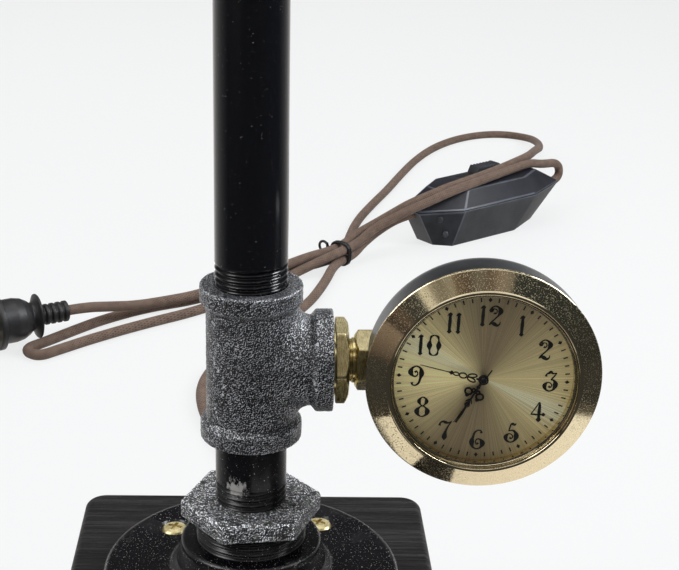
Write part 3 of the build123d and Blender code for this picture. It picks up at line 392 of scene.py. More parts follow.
def mouldedFinish(name, color, rough):
    # moulded plastic or rubber with a fine grain
    material, shader = newFinish(name, color, rough)
    spots = placeInMm(material)
    fine = speckle(material, spots, 0.35, 3.0, 0.6)
    pale = tuple(part * 1.7 + 0.004 for part in color)
    tones = graded(material, speckle(material, spots, 9.0), [(0.3, color), (0.75, pale)])
    join(material, tones, shader, "Base Color")
    join(material, greyed(material, fine, [(0.3, rough - 0.1), (0.7, rough + 0.12)]), shader, "Roughness")
    relief(material, shader, fine, 0.05, 0.6)
    return material


def eightSided(plan, height, inset=0.0):
    half = [(x - inset if x > 0 else x + inset, side - inset) for x, side in plan]
    return [(x, y, height) for x, y in half] + [(x, -y, height) for x, y in reversed(half)]


def bevelled(mesh, width, segments=3):
    # ease the edges of a finished mesh by a real bevel
    holder = newObject("work", mesh)
    bevel = holder.modifiers.new("bevel", "BEVEL")
    bevel.width = width * mm
    bevel.segments = segments
    bevel.limit_method = "ANGLE"
    bevel.angle_limit = math.radians(25)
    return smoothMesh(finishedMesh(holder), 40)


def buildShells(finish):
    lid = mouldedFinish("dimmerLid", dimmer["lidColor"], 0.5)
    edgeHighlight = mouldedFinish("dimmerEdgeHighlight", dimmer["edgeHighlightColor"], 0.4)
    seam, outline = dimmer["seam"], dimmer["seamPlan"]
    shells = (
        ("dimmerLowShell", "dimmer_low_shell", finish,
         ((dimmer["footPlan"], 0.05), (outline, seam - 1.0, 0.4), (outline, seam - 0.25))),
        ("dimmerTopShell", "dimmer_top_shell", lid,
         ((outline, seam + 0.05, 0.1), (outline, seam + 1.3, 0.9), (dimmer["roofPlan"], dimmer["top"]))),
    )
    faces = ringFaces(3, 8) + [tuple(range(8)), tuple(range(16, 24))]
    pieces = []
    for name, node, material, plans in shells:
        spots = [spot for plan in plans for spot in eightSided(*plan)]
        mesh = bevelled(meshFrom(name, spots, faces, dimmerPlace, 20), dimmer["edge"])
        pieces.append(newPiece(name, mesh, "lamp_base", "black_plastic", material, node))
        # the narrow bevel faces take the paler finish, a painted highlight along the edges
        mesh.materials.append(edgeHighlight)
        for face in mesh.polygons:
            spots = [mesh.vertices[index].co for index in face.vertices]
            width = min((a - b).length for a, b in zip(spots, spots[1:] + spots[:1]))
            face.material_index = int(width < dimmer["highlightEdgeWidth"] * mm)
    return pieces


def buildSlider(finish):
    # ridges run across its top, and its foot stands just clear of the lid
    length, width, height = dimmer["sliderSize"]
    half, clear = length / 2, 0.3
    top = height + clear
    profile = [(-half, clear), (-half + 2.2, top)]
    for ridge in range(dimmer["ridges"]):
        start = -half + 3.2 + ridge * dimmer["ridgePitch"]
        profile += [(start, top), (start + 0.8, height - 0.5), (start + 1.6, top)]
    profile += [(half - 2.2, top), (half, clear)]
    spots = [(x, side * width / 2, z) for side in (-1, 1) for x, z in profile]
    count = len(profile)
    faces = [(i, i + 1, count + i + 1, count + i) for i in range(count - 1)]
    faces += [tuple(range(count)), tuple(range(count, 2 * count)), (0, count, 2 * count - 1, count - 1)]
    matrix = dimmerPlace @ place(dimmer["sliderStart"], dimmer["slotSide"], dimmer["top"])
    mesh = bevelled(meshFrom("slider", spots, faces, matrix, 20), 0.35, 2)
    newPiece("dimmerSliderGrip", mesh, "slider", "black_plastic", finish, "dimmer_slider")


def buildDimmer():
    finish = mouldedFinish("dimmerPlastic", dimmer["color"], 0.5)
    shells = buildShells(finish)
    buildSlider(finish)
    # the slot under the slider, a flat dark sheet of painted shade, and the two small screws in the end
    long, wide = dimmer["slotSize"]
    reach = (long - wide) / 2
    line = [(x + (reach if x > 0 else -reach), y, z) for x, y, z in circle(wide / 2, 0.03, 24)]
    matrix = dimmerPlace @ place(dimmer["slotMiddle"], dimmer["slotSide"], dimmer["top"])
    mesh = meshFrom("slot", line, [tuple(range(24))], matrix)
    dark = mouldedFinish("slotShadow", (0.004, 0.004, 0.004), 0.9)
    newPiece("dimmerSlotShade", mesh, "lamp_base", "black_plastic", dark)
    head = rounded([(0, 0.5), (1.0, 0.5), (1.8, 0.2), (2.0, -0.6)], 0.2)
    steel = mouldedFinish("endScrewSteel", (0.035, 0.036, 0.042), 0.45)
    facing = dimmerPlace.to_3x3() @ Vector(dimmer["screwWay"]).normalized()
    facing = facing.to_track_quat("Z", "Y").to_matrix().to_4x4()
    for index, spot in enumerate(dimmer["screwSpots"], 1):
        matrix = Matrix.Translation(dimmerPlace @ (Vector(spot) * mm)) @ facing
        mesh = turnedMesh("endScrew", head, matrix, 32)
        newPiece("dimmerEndScrew%d" % index, mesh, "lamp_base", "steel", steel)
    return shells


dimmerPieces = buildDimmer()
print("dimmer built")


# the plug: ribbed relief, finger guard, waisted body and face
plug = {
    "end": (-97.0, 296.5, 14.4),
    "turn": 208.5,
    "ribs": 4,
    "relief": 13.2,             # length of the ribbed part
    "color": (0.012, 0.012, 0.013),
    # (radius, distance from the cord's end) of the guard and the body
    "profile": [
        (5.2, 13.4), (6.4, 14.1), (8.6, 14.9), (11.2, 15.3), (11.3, 16.3), (9.4, 16.9),
        (7.4, 18.2), (7.3, 19.4), (8.6, 20.8), (10.4, 24.0), (11.2, 28.0), (11.2, 34.6),
        (12.0, 34.9), (13.6, 35.1), (13.7, 37.6), (13.0, 38.2), (0.0, 38.2),
    ],
}


def buildPlug():
    profile = [(0.0, 0.0), (4.9, 0.0)]
    pitch = plug["relief"] / plug["ribs"]
    for rib in range(plug["ribs"]):
        start = rib * pitch
        end = start + pitch
        profile += [(5.3, start + 0.3), (5.3, end - 1.1), (4.4, end - 0.95), (4.4, end - 0.15)]
    profile += plug["profile"]

    def shape(x, y, z):
        # the guard comes to a blunt point above and below, and the body is a little flat
        if 14.2 < z < 18.0:
            radius = math.hypot(x, y)
            pull = 1 - 0.16 * (abs(y) / max(radius, 0.01)) * min(1, max(0, (radius - 5) / 5))
            return x, y * pull, z
        return x, y * 0.93 if 18.0 <= z < 34.8 else y, z

    turn = Matrix.Rotation(math.radians(plug["turn"]), 4, "Z") @ alongX
    mesh = turnedMesh("plugBody", rounded(profile, 0.5), place(*plug["end"], turn), 80, shape=shape)
    finish = mouldedFinish("plugPlastic", plug["color"], 0.46)
    return newPiece("plugMoulding", mesh, "lamp_base", "black_plastic", finish, "plug_body")


plugPiece = buildPlug()
buildCord("cordLampSide", cord["lampRoute"], cord["lampLength"],
          "cord_lamp_side")
buildCord("cordPlugSide", cord["plugRoute"], cord["plugLength"],
          "cord_plug_side")
print("cords laid")


# the tie: wire round the strands, with its ends twisted into a small eye
tie = {
    "center": (46.0, 407.3),
    "turn": 53.0,
    "wire": 1.6,
    "inner": (11.2, 11.2),
    "corner": 3.4,
    "eye": 3.6,
    "color": (0.008, 0.008, 0.009),
}


def buildTie():
    half, eye = tie["wire"] / 2, tie["eye"]
    wide, high = (size / 2 + half for size in tie["inner"])
    corner = tie["corner"] + half
    points = []
    for loop in range(2):
        for number, (sx, sy) in enumerate(((1, -1), (-1, -1), (-1, 1), (1, 1))):
            x, y = sx * (wide - corner), sy * (high - corner)
            for step in range(4):
                angle = math.radians(-90 * number - 90 * step / 3)
                lean = (loop + (number * 4 + step) / 16) * 1.5 - 1.5
                points.append((x + corner * math.cos(angle), y + corner * math.sin(angle), lean))
    points.append((wide + 1.2, high - 4, 1.2))
    for step in range(9):
        angle = math.radians(-120 + 330 * step / 8)
        x, y = wide + 1.6 + eye + eye * math.cos(angle), 1.5 + eye * math.sin(angle)
        points.append((x, y, 1.1 - 0.25 * step))
    points.append((wide + 2.2, high - 1.5, -1.2))
    turn = math.radians(tie["turn"])
    along = Vector((math.cos(turn), math.sin(turn), 0))
    across = Vector((-math.sin(turn), math.cos(turn), 0))
    middle = Vector((*tie["center"], tie["inner"][1] / 2 + tie["wire"] + 0.05))
    spots = [middle + across * x + Vector((0, 0, y)) + along * z for x, y, z in points]
    piece = wireCurve("tieWire", spots, half * 0.94, 4)
    piece.data.materials.append(mouldedFinish("tiePlastic", tie["color"], 0.38))
    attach(piece, "lamp_base")
    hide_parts("twist_tie")


buildTie()
print("tie bound")


# the floor, the world and the lamps
stageSetup = {
    "floorTone": (0.72, 0.725, 0.73),
    "floorSize": 9000,
    "worldTone": (0.945, 0.952, 0.955),
    "paperShare": 0.8,
    "fill": 0.2,
    # name: (spot, aim, size, power, color, seen in polished pieces)
    "lamps": {
        "leftBox": ((-900, -300, 900), (-20, 40, 120), (500, 800), 6.0, (1.0, 1.0, 1.0), True),
        "rightBox": ((900, 50, 750), (20, 0, 120), (350, 600), 10.0, (0.95, 0.975, 1.0), True),
        "topBox": ((0, 300, 1500), (0, 0, 100), (1200, 900), 8.0, (1.0, 1.0, 1.0), True),
        "backBox": ((-250, 1300, 900), (0, 0, 120), (1300, 700), 5.0, (1.0, 1.0, 1.0), False),
    },
    # the way the camera looks at the clock, from which the mirrored room is laid out
    "viewWay": (0.141, 0.904, -0.403),
    "floorMirrored": (1.0, 0.98, 0.95),
    "roomDark": 0.045,
    # tones of the mirrored room round the clock, by the hour at which the bezel shows them
    "roomBands": [
        (0.05, (0.15, 0.12, 0.1)), (0.2, (0.27, 0.225, 0.2)), (0.4, (0.24, 0.22, 0.19)),
        (0.46, (0.04, 0.047, 0.05)), (2.6, (0.035, 0.036, 0.035)), (3.5, (0.1, 0.09, 0.08)),
        (3.6, (0.13, 0.12, 0.1)), (3.68, (1.1, 1.08, 1.05)), (5.2, (1.05, 1.0, 0.95)),
        (8.25, (0.8, 0.78, 0.75)), (8.29, (0.05, 0.045, 0.04)), (9.35, (0.038, 0.036, 0.036)),
        (9.45, (0.09, 0.07, 0.06)), (10.03, (0.28, 0.22, 0.19)), (10.09, (0.03, 0.028, 0.028)),
        (10.3, (0.13, 0.095, 0.08)), (10.45, (0.06, 0.06, 0.06)), (10.74, (0.055, 0.06, 0.06)),
        (10.79, (0.8, 0.78, 0.72)), (10.92, (0.75, 0.72, 0.66)), (11.0, (0.3, 0.28, 0.25)),
        (11.17, (0.22, 0.2, 0.17)), (11.33, (0.36, 0.34, 0.3)), (11.42, (0.17, 0.13, 0.1)),
        (11.66, (0.11, 0.085, 0.07)), (11.8, (0.17, 0.165, 0.15)), (12.0, (0.15, 0.12, 0.1)),
    ],
    # ramps over how far a face turns aside, within which the bands and the overhead strip show
    "bandStart": ([(0.09, 0), (0.13, 1)], [(0.13, 0), (0.16, 1)]),
    "overhead": [(0.53, 0), (0.57, 1), (0.63, 1), (0.68, 0)],
    "overheadTone": 1.2,
    # a pale card that only polished pieces see, reflected low on the left of the bezel
    "card": [(43.0, -29.5, 60), (38.5, -19.5, 60), (-1.5, -42, 60), (6.6, -51.8, 60)],
    "cardTone": (0.97, 0.94, 0.9),
}


def mirroredRoom(world):
    # the room as polished pieces see it: bands in front, pale low down behind, dark high up behind
    way = addNode(world, "ShaderNodeTexCoord").outputs["Generated"]
    facing = vectorMaths(world, "SUBTRACT", way, stageSetup["viewWay"])[0]
    x, y, z = axes(world, vectorMaths(world, "NORMALIZE", facing)[0])
    turn = maths(world, "MULTIPLY", maths(world, "ARCTAN2", x, z), 1 / (2 * math.pi))
    share = maths(world, "FRACT", maths(world, "ADD", turn, 1.0))
    bands = graded(world, share, [(hour / 12, tone) for hour, tone in stageSetup["roomBands"]])
    square = maths(world, "ADD", maths(world, "MULTIPLY", x, x), maths(world, "MULTIPLY", z, z))
    lifted, spread = stageSetup["bandStart"]
    tilted = greyed(world, maths(world, "ABSOLUTE", z), lifted)
    tilted = maths(world, "MULTIPLY", tilted, greyed(world, square, spread))
    dark, bright = (stageSetup["roomDark"],) * 3, (stageSetup["overheadTone"],) * 3
    front = mixed(world, tilted, (*dark, 1), bands)
    front = mixed(world, greyed(world, z, stageSetup["overhead"]), front, (*bright, 1))
    level = maths(world, "MULTIPLY_ADD", axes(world, way)[2], 0.5, 0.5)
    behind = graded(world, level, [(0.5, stageSetup["floorMirrored"]), (0.57, (0.3,) * 3),
                                   (0.63, dark), (0.9, (0.12,) * 3)])
    side = maths(world, "MULTIPLY_ADD", y, 0.5, 0.5)
    return mixed(world, greyed(world, side, [(0.14, 0), (0.45, 1)]), front, behind)


def flatStage(name, corners, material):
    mesh = bpy.data.meshes.new(name)
    mesh.from_pydata([Vector(corner) * mm for corner in corners], [], [(0, 1, 2, 3)])
    mesh.materials.append(material)
    piece = newObject(name, mesh)
    return piece


def buildCard():
    material = bpy.data.materials.new("card")
    material.use_nodes = True
    path = addNode(material, "ShaderNodeLightPath")
    clear = addNode(material, "ShaderNodeBsdfTransparent")
    glow = addNode(material, "ShaderNodeEmission", {"Color": (*stageSetup["cardTone"], 1)})
    showShader(material, mixedShader(material, path.outputs["Is Glossy Ray"], clear, glow))
    card = flatStage("card", stageSetup["card"], material)
    for kind in ("camera", "diffuse", "transmission", "shadow"):
        setattr(card, "visible_" + kind, False)


def buildWorld():
    world = bpy.data.worlds.new("studio")
    bpy.context.scene.world = world
    world.use_nodes = True
    background = world.node_tree.nodes["Background"]
    background.inputs["Color"].default_value = (1, 1, 1, 1)
    background.inputs["Strength"].default_value = stageSetup["fill"]
    shown = addNode(world, "ShaderNodeBackground", {"Color": (*stageSetup["worldTone"], 1)})
    mirrored = addNode(world, "ShaderNodeBackground", {"Color": mirroredRoom(world)})
    path = addNode(world, "ShaderNodeLightPath").outputs
    # rays through glass see the backdrop at once, and the mirrored room after a reflection
    bounced = maths(world, "MINIMUM", path["Glossy Depth"], 1.0)
    direct = maths(world, "SUBTRACT", 1.0, bounced)
    through = maths(world, "MULTIPLY", path["Is Transmission Ray"], direct)
    seen = maths(world, "MAXIMUM", path["Is Camera Ray"], through)
    after = maths(world, "MULTIPLY", bounced, path["Is Transmission Ray"])
    polished = maths(world, "MAXIMUM", path["Is Glossy Ray"], after)
    glossy = mixedShader(world, polished, background, mirrored)
    showShader(world, mixedShader(world, seen, glossy, shown), "World Output")


def buildFloor():
    # pale paper for the camera; shiny pieces look through it to the mirrored room
    material, paper = newFinish("floorPaper", stageSetup["floorTone"], 0.9, Specular_IOR_Level=0.2)
    glow = addNode(material, "ShaderNodeEmission", {"Color": (*stageSetup["worldTone"], 1)})
    path = addNode(material, "ShaderNodeLightPath").outputs
    either = maths(material, "MAXIMUM", path["Is Camera Ray"], path["Is Transmission Ray"])
    share = maths(material, "MULTIPLY", either, stageSetup["paperShare"])
    blend = mixedShader(material, share, paper, glow)
    clear = addNode(material, "ShaderNodeBsdfTransparent")
    showShader(material, mixedShader(material, path["Is Glossy Ray"], blend, clear))
    half = stageSetup["floorSize"] / 2
    flatStage("floor", [(-half, -half, 0), (half, -half, 0), (half, half, 0), (-half, half, 0)], material)


def buildLamps():
    for name, (spot, aim, size, power, color, mirrored) in stageSetup["lamps"].items():
        light = bpy.data.lights.new(name, "AREA")
        light.shape = "RECTANGLE"
        light.size, light.size_y = (side * mm for side in size)
        light.energy = power
        light.color = color
        holder = newObject(name, light)
        holder.location = Vector(spot) * mm
        holder.rotation_euler = (Vector(aim) - Vector(spot)).to_track_quat("-Z", "Y").to_euler()
        holder.visible_glossy = mirrored


buildWorld()
buildFloor()
buildCard()
buildLamps()
bpy.context.scene.view_settings.view_transform = "Standard"
print("stage lit")


# finishes shared by several pieces
castLook = {
    # tones from the pits to the grains, the palest standing for painted glints, and where each begins
    "tones": ((0.47, (0.006, 0.007, 0.009)), (0.6, (0.011, 0.0135, 0.018)), (0.71, (0.8, 0.83, 0.88))),
    "rough": 0.36,
    "metal": 0.35,
    "grain": 0.44,
    "aside": (0.26, 0.12, -0.35),   # from a grain to its side painted in shade, as a share of the grain
    "edges": 1.8,                   # how much paler convex edges are painted (painted highlight), and how much darker creases (painted shade)
    "relief": 0.34,
}
enamelLook = {"color": (0.0055, 0.006, 0.008), "dust": (0.8, 0.79, 0.76), "dustSize": 0.42, "rough": 0.13}
brassLook = {"color": (0.7, 0.6, 0.33), "deep": (0.45, 0.37, 0.17), "metal": 0.88}
woodLook = {"dark": (0.005, 0.0045, 0.0045), "mid": (0.012, 0.0112, 0.0112), "light": (0.036, 0.0335, 0.033)}


def castFinish(name, tint=1.0, grain=castLook["grain"]):
    # sand-cast iron, dark in the pits, each grain painted lit on one side and shaded on the other, the palest
    # grains painted glints, edges given a painted highlight and creases painted shade
    material, shader = newFinish(name, castLook["tones"][1][1], castLook["rough"], castLook["metal"],
                                 Specular_IOR_Level=1.0)
    spots = placeInMm(material)
    edges = addNode(material, "ShaderNodeNewGeometry").outputs["Pointiness"]
    fine = speckle(material, spots, grain, 1.5, 0.6)
    # each grain is painted lighter on one side and darker on the other: painted light and shade
    beside = vectorMaths(material, "ADD", spots, toned(castLook["aside"], grain))[0]
    shaded = maths(material, "SUBTRACT", fine, speckle(material, beside, grain, 1.5, 0.6))
    broad = maths(material, "SUBTRACT", speckle(material, spots, 7.0, 3.0), 0.5)
    # convex edges painted paler and creases darker: a painted highlight on the edges and painted shade in the
    # creases
    edgeHighlightCreaseShade = maths(material, "MULTIPLY", maths(material, "SUBTRACT", edges, 0.5), castLook["edges"])
    lit = maths(material, "ADD", maths(material, "MULTIPLY", shaded, 0.9), fine)
    wide = maths(material, "ADD", maths(material, "MULTIPLY", broad, 0.16), edgeHighlightCreaseShade)
    tones = [(start, toned(tone, tint)) for start, tone in castLook["tones"]]
    join(material, graded(material, maths(material, "ADD", lit, wide), tones), shader, "Base Color")
    join(material, greyed(material, fine, [(0.35, 0.44), (0.65, 0.22)]), shader, "Roughness")
    relief(material, shader, fine, castLook["relief"])
    return material


def enamelFinish(name, color, rough, bumps=0.03, dusty=0.72, spread=0.1):
    # black enamel with specks of dust; the nearer dusty is to 1, the fewer there are
    material, shader = newFinish(name, color, rough, Specular_IOR_Level=0.5)
    spots = placeInMm(material)
    dust = speckle(material, spots, enamelLook["dustSize"], 1.0)
    dust = greyed(material, dust, [(dusty, 0), (dusty + 0.05, 1)])
    tones = mixed(material, maths(material, "MULTIPLY", dust, 0.8), (*color, 1), (*enamelLook["dust"], 1))
    join(material, tones, shader, "Base Color")
    haze = speckle(material, spots, 14.0, 3.0)
    join(material, greyed(material, haze, [(0.3, rough - 0.04), (0.7, rough + spread)]), shader, "Roughness")
    relief(material, shader, speckle(material, spots, 0.8, 4.0, 0.7), bumps, 0.8)
    return material


def brassFinish(name, rough=0.26, shade=1.0):
    # faces that look up are made less metallic so they show paler: a painted highlight on the upper faces
    material, shader = newFinish(name, brassLook["color"], rough, brassLook["metal"])
    upward = axes(material, addNode(material, "ShaderNodeTexCoord").outputs["Normal"])[2]
    join(material, greyed(material, upward, [(0.6, 0.97), (0.93, 0.35)]), shader, "Metallic")
    patches = speckle(material, placeInMm(material), 2.4, 4.0, 0.6)
    tones = [(0.3, toned(brassLook["deep"], shade)), (0.62, toned(brassLook["color"], shade))]
    join(material, graded(material, patches, tones), shader, "Base Color")
    lines = speckle(material, placeInMm(material, (6, 0.4, 0.4)), 1.0, 3.0)
    join(material, greyed(material, lines, [(0.3, rough - 0.08), (0.7, rough + 0.12)]), shader, "Roughness")
    relief(material, shader, lines, 0.03, 0.5)
    return material


def woodFinish():
    # black stain over open grain that runs along X
    material, shader = newFinish("blackWood", woodLook["mid"], 0.55, Specular_IOR_Level=0.3)
    waves = speckle(material, placeInMm(material, (0.012, 0.12, 0.12)), 1.0, 2.0)
    bend = vectorMaths(material, "ADD", placeInMm(material, (0.03, 1, 1)), waves)[0]
    grain = speckle(material, bend, 1.5, 5.0, 0.6)
    pores = speckle(material, placeInMm(material, (0.07, 1, 1)), 0.42, 2.0)
    pores = greyed(material, pores, [(0.34, 0), (0.46, 1)])
    tones = list(zip((0.38, 0.5, 0.64), (woodLook["dark"], woodLook["mid"], woodLook["light"])))
    color = mixed(material, pores, (*woodLook["dark"], 1), graded(material, grain, tones))
    join(material, color, shader, "Base Color")
    join(material, greyed(material, grain, [(0.3, 0.62), (0.7, 0.38)]), shader, "Roughness")
    height = maths(material, "MULTIPLY", grain, 0.6)
    height = maths(material, "ADD", height, maths(material, "MULTIPLY", pores, 0.5))
    relief(material, shader, height, 0.35, 0.8)
    return material


castIron = castFinish("castIron")
pipeEnamel = enamelFinish("pipeEnamel", enamelLook["color"], enamelLook["rough"], 0.025, 0.765, 0.03)
flangeEnamel = enamelFinish("flangeEnamel", (0.003, 0.003, 0.0045), 0.22, 0.1, 0.69)
satinBrass = brassFinish("satinBrass")
brightBrass = brassFinish("brightBrass", 0.16, 1.1)
blackWood = woodFinish()
print("finishes mixed")


# threaded pipes
pipe = {
    "outer": 10.7,
    "inner": 7.9,
    "pitch": 1.814,
    "depth": 0.85,
    "segments": 128,
    "ringStep": 0.13,           # between the rings of points in a thread
    "guard": 0.25,              # from a thread to the ring beside it, which keeps the long faces flat
    "screwed": 12.0,            # how far a pipe goes into a fitting
}


def threadedMesh(name, length, zones, matrix, outer=pipe["outer"], inner=pipe["inner"]):
    # a tube along Z; a screw thread is cut into each (start, end) zone
    heights = {0.0, length}
    for start, end in zones:
        count = int((end - start) / pipe["ringStep"])
        heights.update(start + (end - start) * step / count for step in range(count + 1))
        heights.update((max(0, start - pipe["guard"]), min(length, end + pipe["guard"])))
    heights = sorted({round(height, 4) for height in heights})
    count = pipe["segments"]
    spots = []
    for height in heights:
        for segment in range(count):
            turn = segment / count
            radius = outer
            for start, end in zones:
                if start <= height <= end:
                    ease = min(1, (height - start) / 1.2, (end - height) / 0.5)
                    phase = (height / pipe["pitch"] - turn) % 1
                    cut = min(1, max(0, 1.25 * (1 - abs(2 * phase - 1)) - 0.1))
                    radius = outer - pipe["depth"] * cut * max(0, ease)
            angle = 2 * math.pi * turn
            spots.append((radius * math.cos(angle), radius * math.sin(angle), height))
    return boredMesh(name, spots, len(heights), inner, length, matrix, 50)


# heights above the table, and the head's place along X
levels = {
    "hubTop": 57.5, "hexLow": 65.0, "hexTop": 70.6, "teeLow": 91.8, "branch": 115.8, "teeTop": 139.8,
    "elbowLow": 300.0, "arm": 324.0, "headX": -88.0, "headFace": 348.0,
}


def buildPipes():
    # each tube has a thread where it leaves its fitting, half a millimetre of it inside
    screwed = pipe["screwed"]
    lead = screwed - 0.5
    nipple = enamelFinish("nippleEnamel", enamelLook["color"], 0.2)
    wearOff(nipple)
    lowNipple, lowRiser = levels["hexTop"] - screwed, levels["teeTop"] - screwed
    nippleLength = levels["teeLow"] + screwed - lowNipple
    riserLength = levels["elbowLow"] + screwed - lowRiser
    armLength = -levels["headX"] - 48 + 2 * screwed
    sideways = Matrix.Rotation(math.radians(-90), 4, "Y")
    # name, body, node, finish, place, length, threads
    tubes = (
        ("lowerNipplePipe", "lamp_base", "lower_nipple", nipple,
         place(0, 0, lowNipple), nippleLength, [(lead, screwed + 6.8)]),
        ("riserTube", "lamp_base", "riser_pipe", pipeEnamel, place(0, 0, lowRiser), riserLength,
         [(lead, screwed + 7.2), (riserLength - screwed - 7, riserLength - lead)]),
        ("armTube", "arm", "arm_nipple", pipeEnamel,
         place(screwed - 24, 0, levels["arm"], sideways), armLength,
         [(lead, screwed + 4), (armLength - screwed - 4, armLength - lead)]),
        ("headTube", "head", "head_nipple", pipeEnamel,
         place(levels["headX"], 0, levels["headFace"] - screwed), 5 + 2 * screwed, [(lead, screwed + 5.2)]),
    )
    for name, body, node, material, matrix, length, threads in tubes:
        newPiece(name, threadedMesh(name, length, threads, matrix), body, "black_pipe", material, node)


def wearOff(material):
    # a patch on the left front of the nipple where the enamel is scuffed to grey
    shader = material.node_tree.nodes["Principled BSDF"]
    color, rough = (shader.inputs[key].links[0].from_socket for key in ("Base Color", "Roughness"))
    size = addNode(material, "ShaderNodeMapping", {"Vector": placeInMm(material, shift=(4.4, 9.7, -78.0)),
                                                   "Scale": (0.15, 0.15, 0.15)})
    far = vectorMaths(material, "LENGTH", size.outputs[0])["Value"]
    torn = speckle(material, placeInMm(material, (1, 1, 0.5)), 1.3, 5.0, 0.7)
    ragged = maths(material, "ADD", far, maths(material, "MULTIPLY", torn, 1.5))
    amount = greyed(material, maths(material, "MULTIPLY", ragged, 0.5), [(0.54, 1), (0.62, 0)])
    bare = mixed(material, maths(material, "MULTIPLY", amount, 0.9), color, (0.45, 0.44, 0.42, 1))
    join(material, bare, shader, "Base Color")
    dull = maths(material, "ADD", rough, maths(material, "MULTIPLY", amount, 0.35))
    join(material, dull, shader, "Roughness")


buildPipes()
print("pipes cut")


# cast fittings, pulled onto a smooth field and roughened
fitting = {
    "reach": 24.0,
    "body": 13.3,
    "band": 15.1,
    "bandWidth": 5.0,
    "bore": 10.75,
    "blend": 6.5,               # of the tee's two barrels
    "edge": 0.6,
    "voxel": 0.36,
    "grit": 0.12,
}


def easedMax(first, second, size):
    share = np.clip(0.5 + 0.5 * (first - second) / size, 0, 1)
    return second * (1 - share) + first * share + size * share * (1 - share)


def easedMin(first, second, size):
    size = np.maximum(size, 1e-3)
    share = np.clip(0.5 + 0.5 * (second - first) / size, 0, 1)
    return second * (1 - share) + first * share - size * share * (1 - share)


def bandRadius(height):
    start = fitting["reach"] - fitting["bandWidth"] - 1.7
    share = np.clip((height - start) / 2.0, 0, 1)
    return fitting["body"] + (fitting["band"] - fitting["body"]) * share * share * (3 - 2 * share)


def teeField(spots):
    x, y, z = spots.T
    reach = fitting["reach"]
    upright = np.hypot(x, y) - bandRadius(np.abs(z))
    branch = np.sqrt(y * y + z * z + np.minimum(x, 0) ** 2) - bandRadius(x)
    # the blend is widest in front and behind, and fades towards the sides
    size = fitting["blend"] * np.clip(1 - (y / fitting["body"]) ** 2, 0, 1) ** 0.7
    size = size * np.clip((x - 1) / 8, 0, 1)
    field = easedMin(upright, branch, size)
    field = easedMax(field, np.abs(z) - reach, fitting["edge"])
    return easedMax(field, x - reach, fitting["edge"])


def castMesh(name, seeds, field, keep, matrix, grit):
    # remesh the seed solids, pull the skin onto the field, then add the grit of the sand mould
    merged = bmesh.new()
    for seed in seeds:
        merged.from_mesh(seed)
    work = bpy.data.meshes.new("seed")
    merged.to_mesh(work)
    merged.free()
    holder = newObject("seed", work)
    remesh = holder.modifiers.new("remesh", "REMESH")
    remesh.mode = "VOXEL"
    remesh.voxel_size = fitting["voxel"] * mm
    mesh = finishedMesh(holder)
    spots = np.zeros(len(mesh.vertices) * 3)
    mesh.vertices.foreach_get("co", spots)
    spots = spots.reshape(-1, 3) / mm
    inner = keep(spots)[:, None]
    step = 0.05
    for _ in range(10):
        value = field(spots)
        rises = [field(spots + offset) - field(spots - offset) for offset in np.eye(3) * step]
        slope = np.stack([rise / (2 * step) for rise in rises], 1)
        size = np.maximum((slope ** 2).sum(1), 0.15)
        move = np.clip(value / size, -0.8, 0.8)[:, None] * slope
        spots = np.where(inner, spots, spots - move)
    slope /= np.maximum(np.linalg.norm(slope, axis=1), 1e-6)[:, None]
    points = [Vector(spot) for spot in spots]
    rise = np.array([noise.noise(point * 1.3) + 0.6 * noise.noise(point * 3.1) for point in points])
    spots = np.where(inner, spots, spots + slope * (rise * grit)[:, None])
    mesh.vertices.foreach_set("co", (spots * mm).ravel())
    mesh.update()
    mesh.transform(matrix)
    mesh.name = name
    mesh.shade_smooth()
    return mesh


def buildTee():
    reach, bore, body, band = (fitting[key] for key in ("reach", "bore", "body", "band"))
    start = reach - fitting["bandWidth"] - 0.7
    half = [(body, start), (band, start + 1.4), (band, reach)]
    upright = [(bore, reach), (bore, -reach)] + [(r, -h) for r, h in reversed(half)] + half
    branch = [(0.0, 0.0), (body, 0.0)] + half + [(bore, reach), (bore, 13.5), (0.0, 13.5)]
    seeds = [turnedMesh("seedA", upright, None, 72, closed=True), turnedMesh("seedB", branch, alongX, 72)]

    def keep(spots):
        # the bores and the floor between them stay as the seeds have them
        x, y, z = spots.T
        across = np.hypot(x, y)
        return (across < 11.4) | ((np.hypot(y, z) < 11.4) & (x > 12.5)) | ((across < 12.6) & (np.abs(z) < 12))

    mesh = castMesh("tee", seeds, teeField, keep, place(0, 0, levels["branch"]), fitting["grit"])
    newPiece("teeCasting", mesh, "lamp_base", "malleable_iron", castIron, "pipe_tee")


hexFitting = {
    "corner": 21.6,
    "turn": 7.7,
    "ease": 0.9,                # of the upper and lower edges
    "cornerEase": 0.7,
    "thread": 16.7,
    "bore": 10.9,
    "grit": 0.1,
}


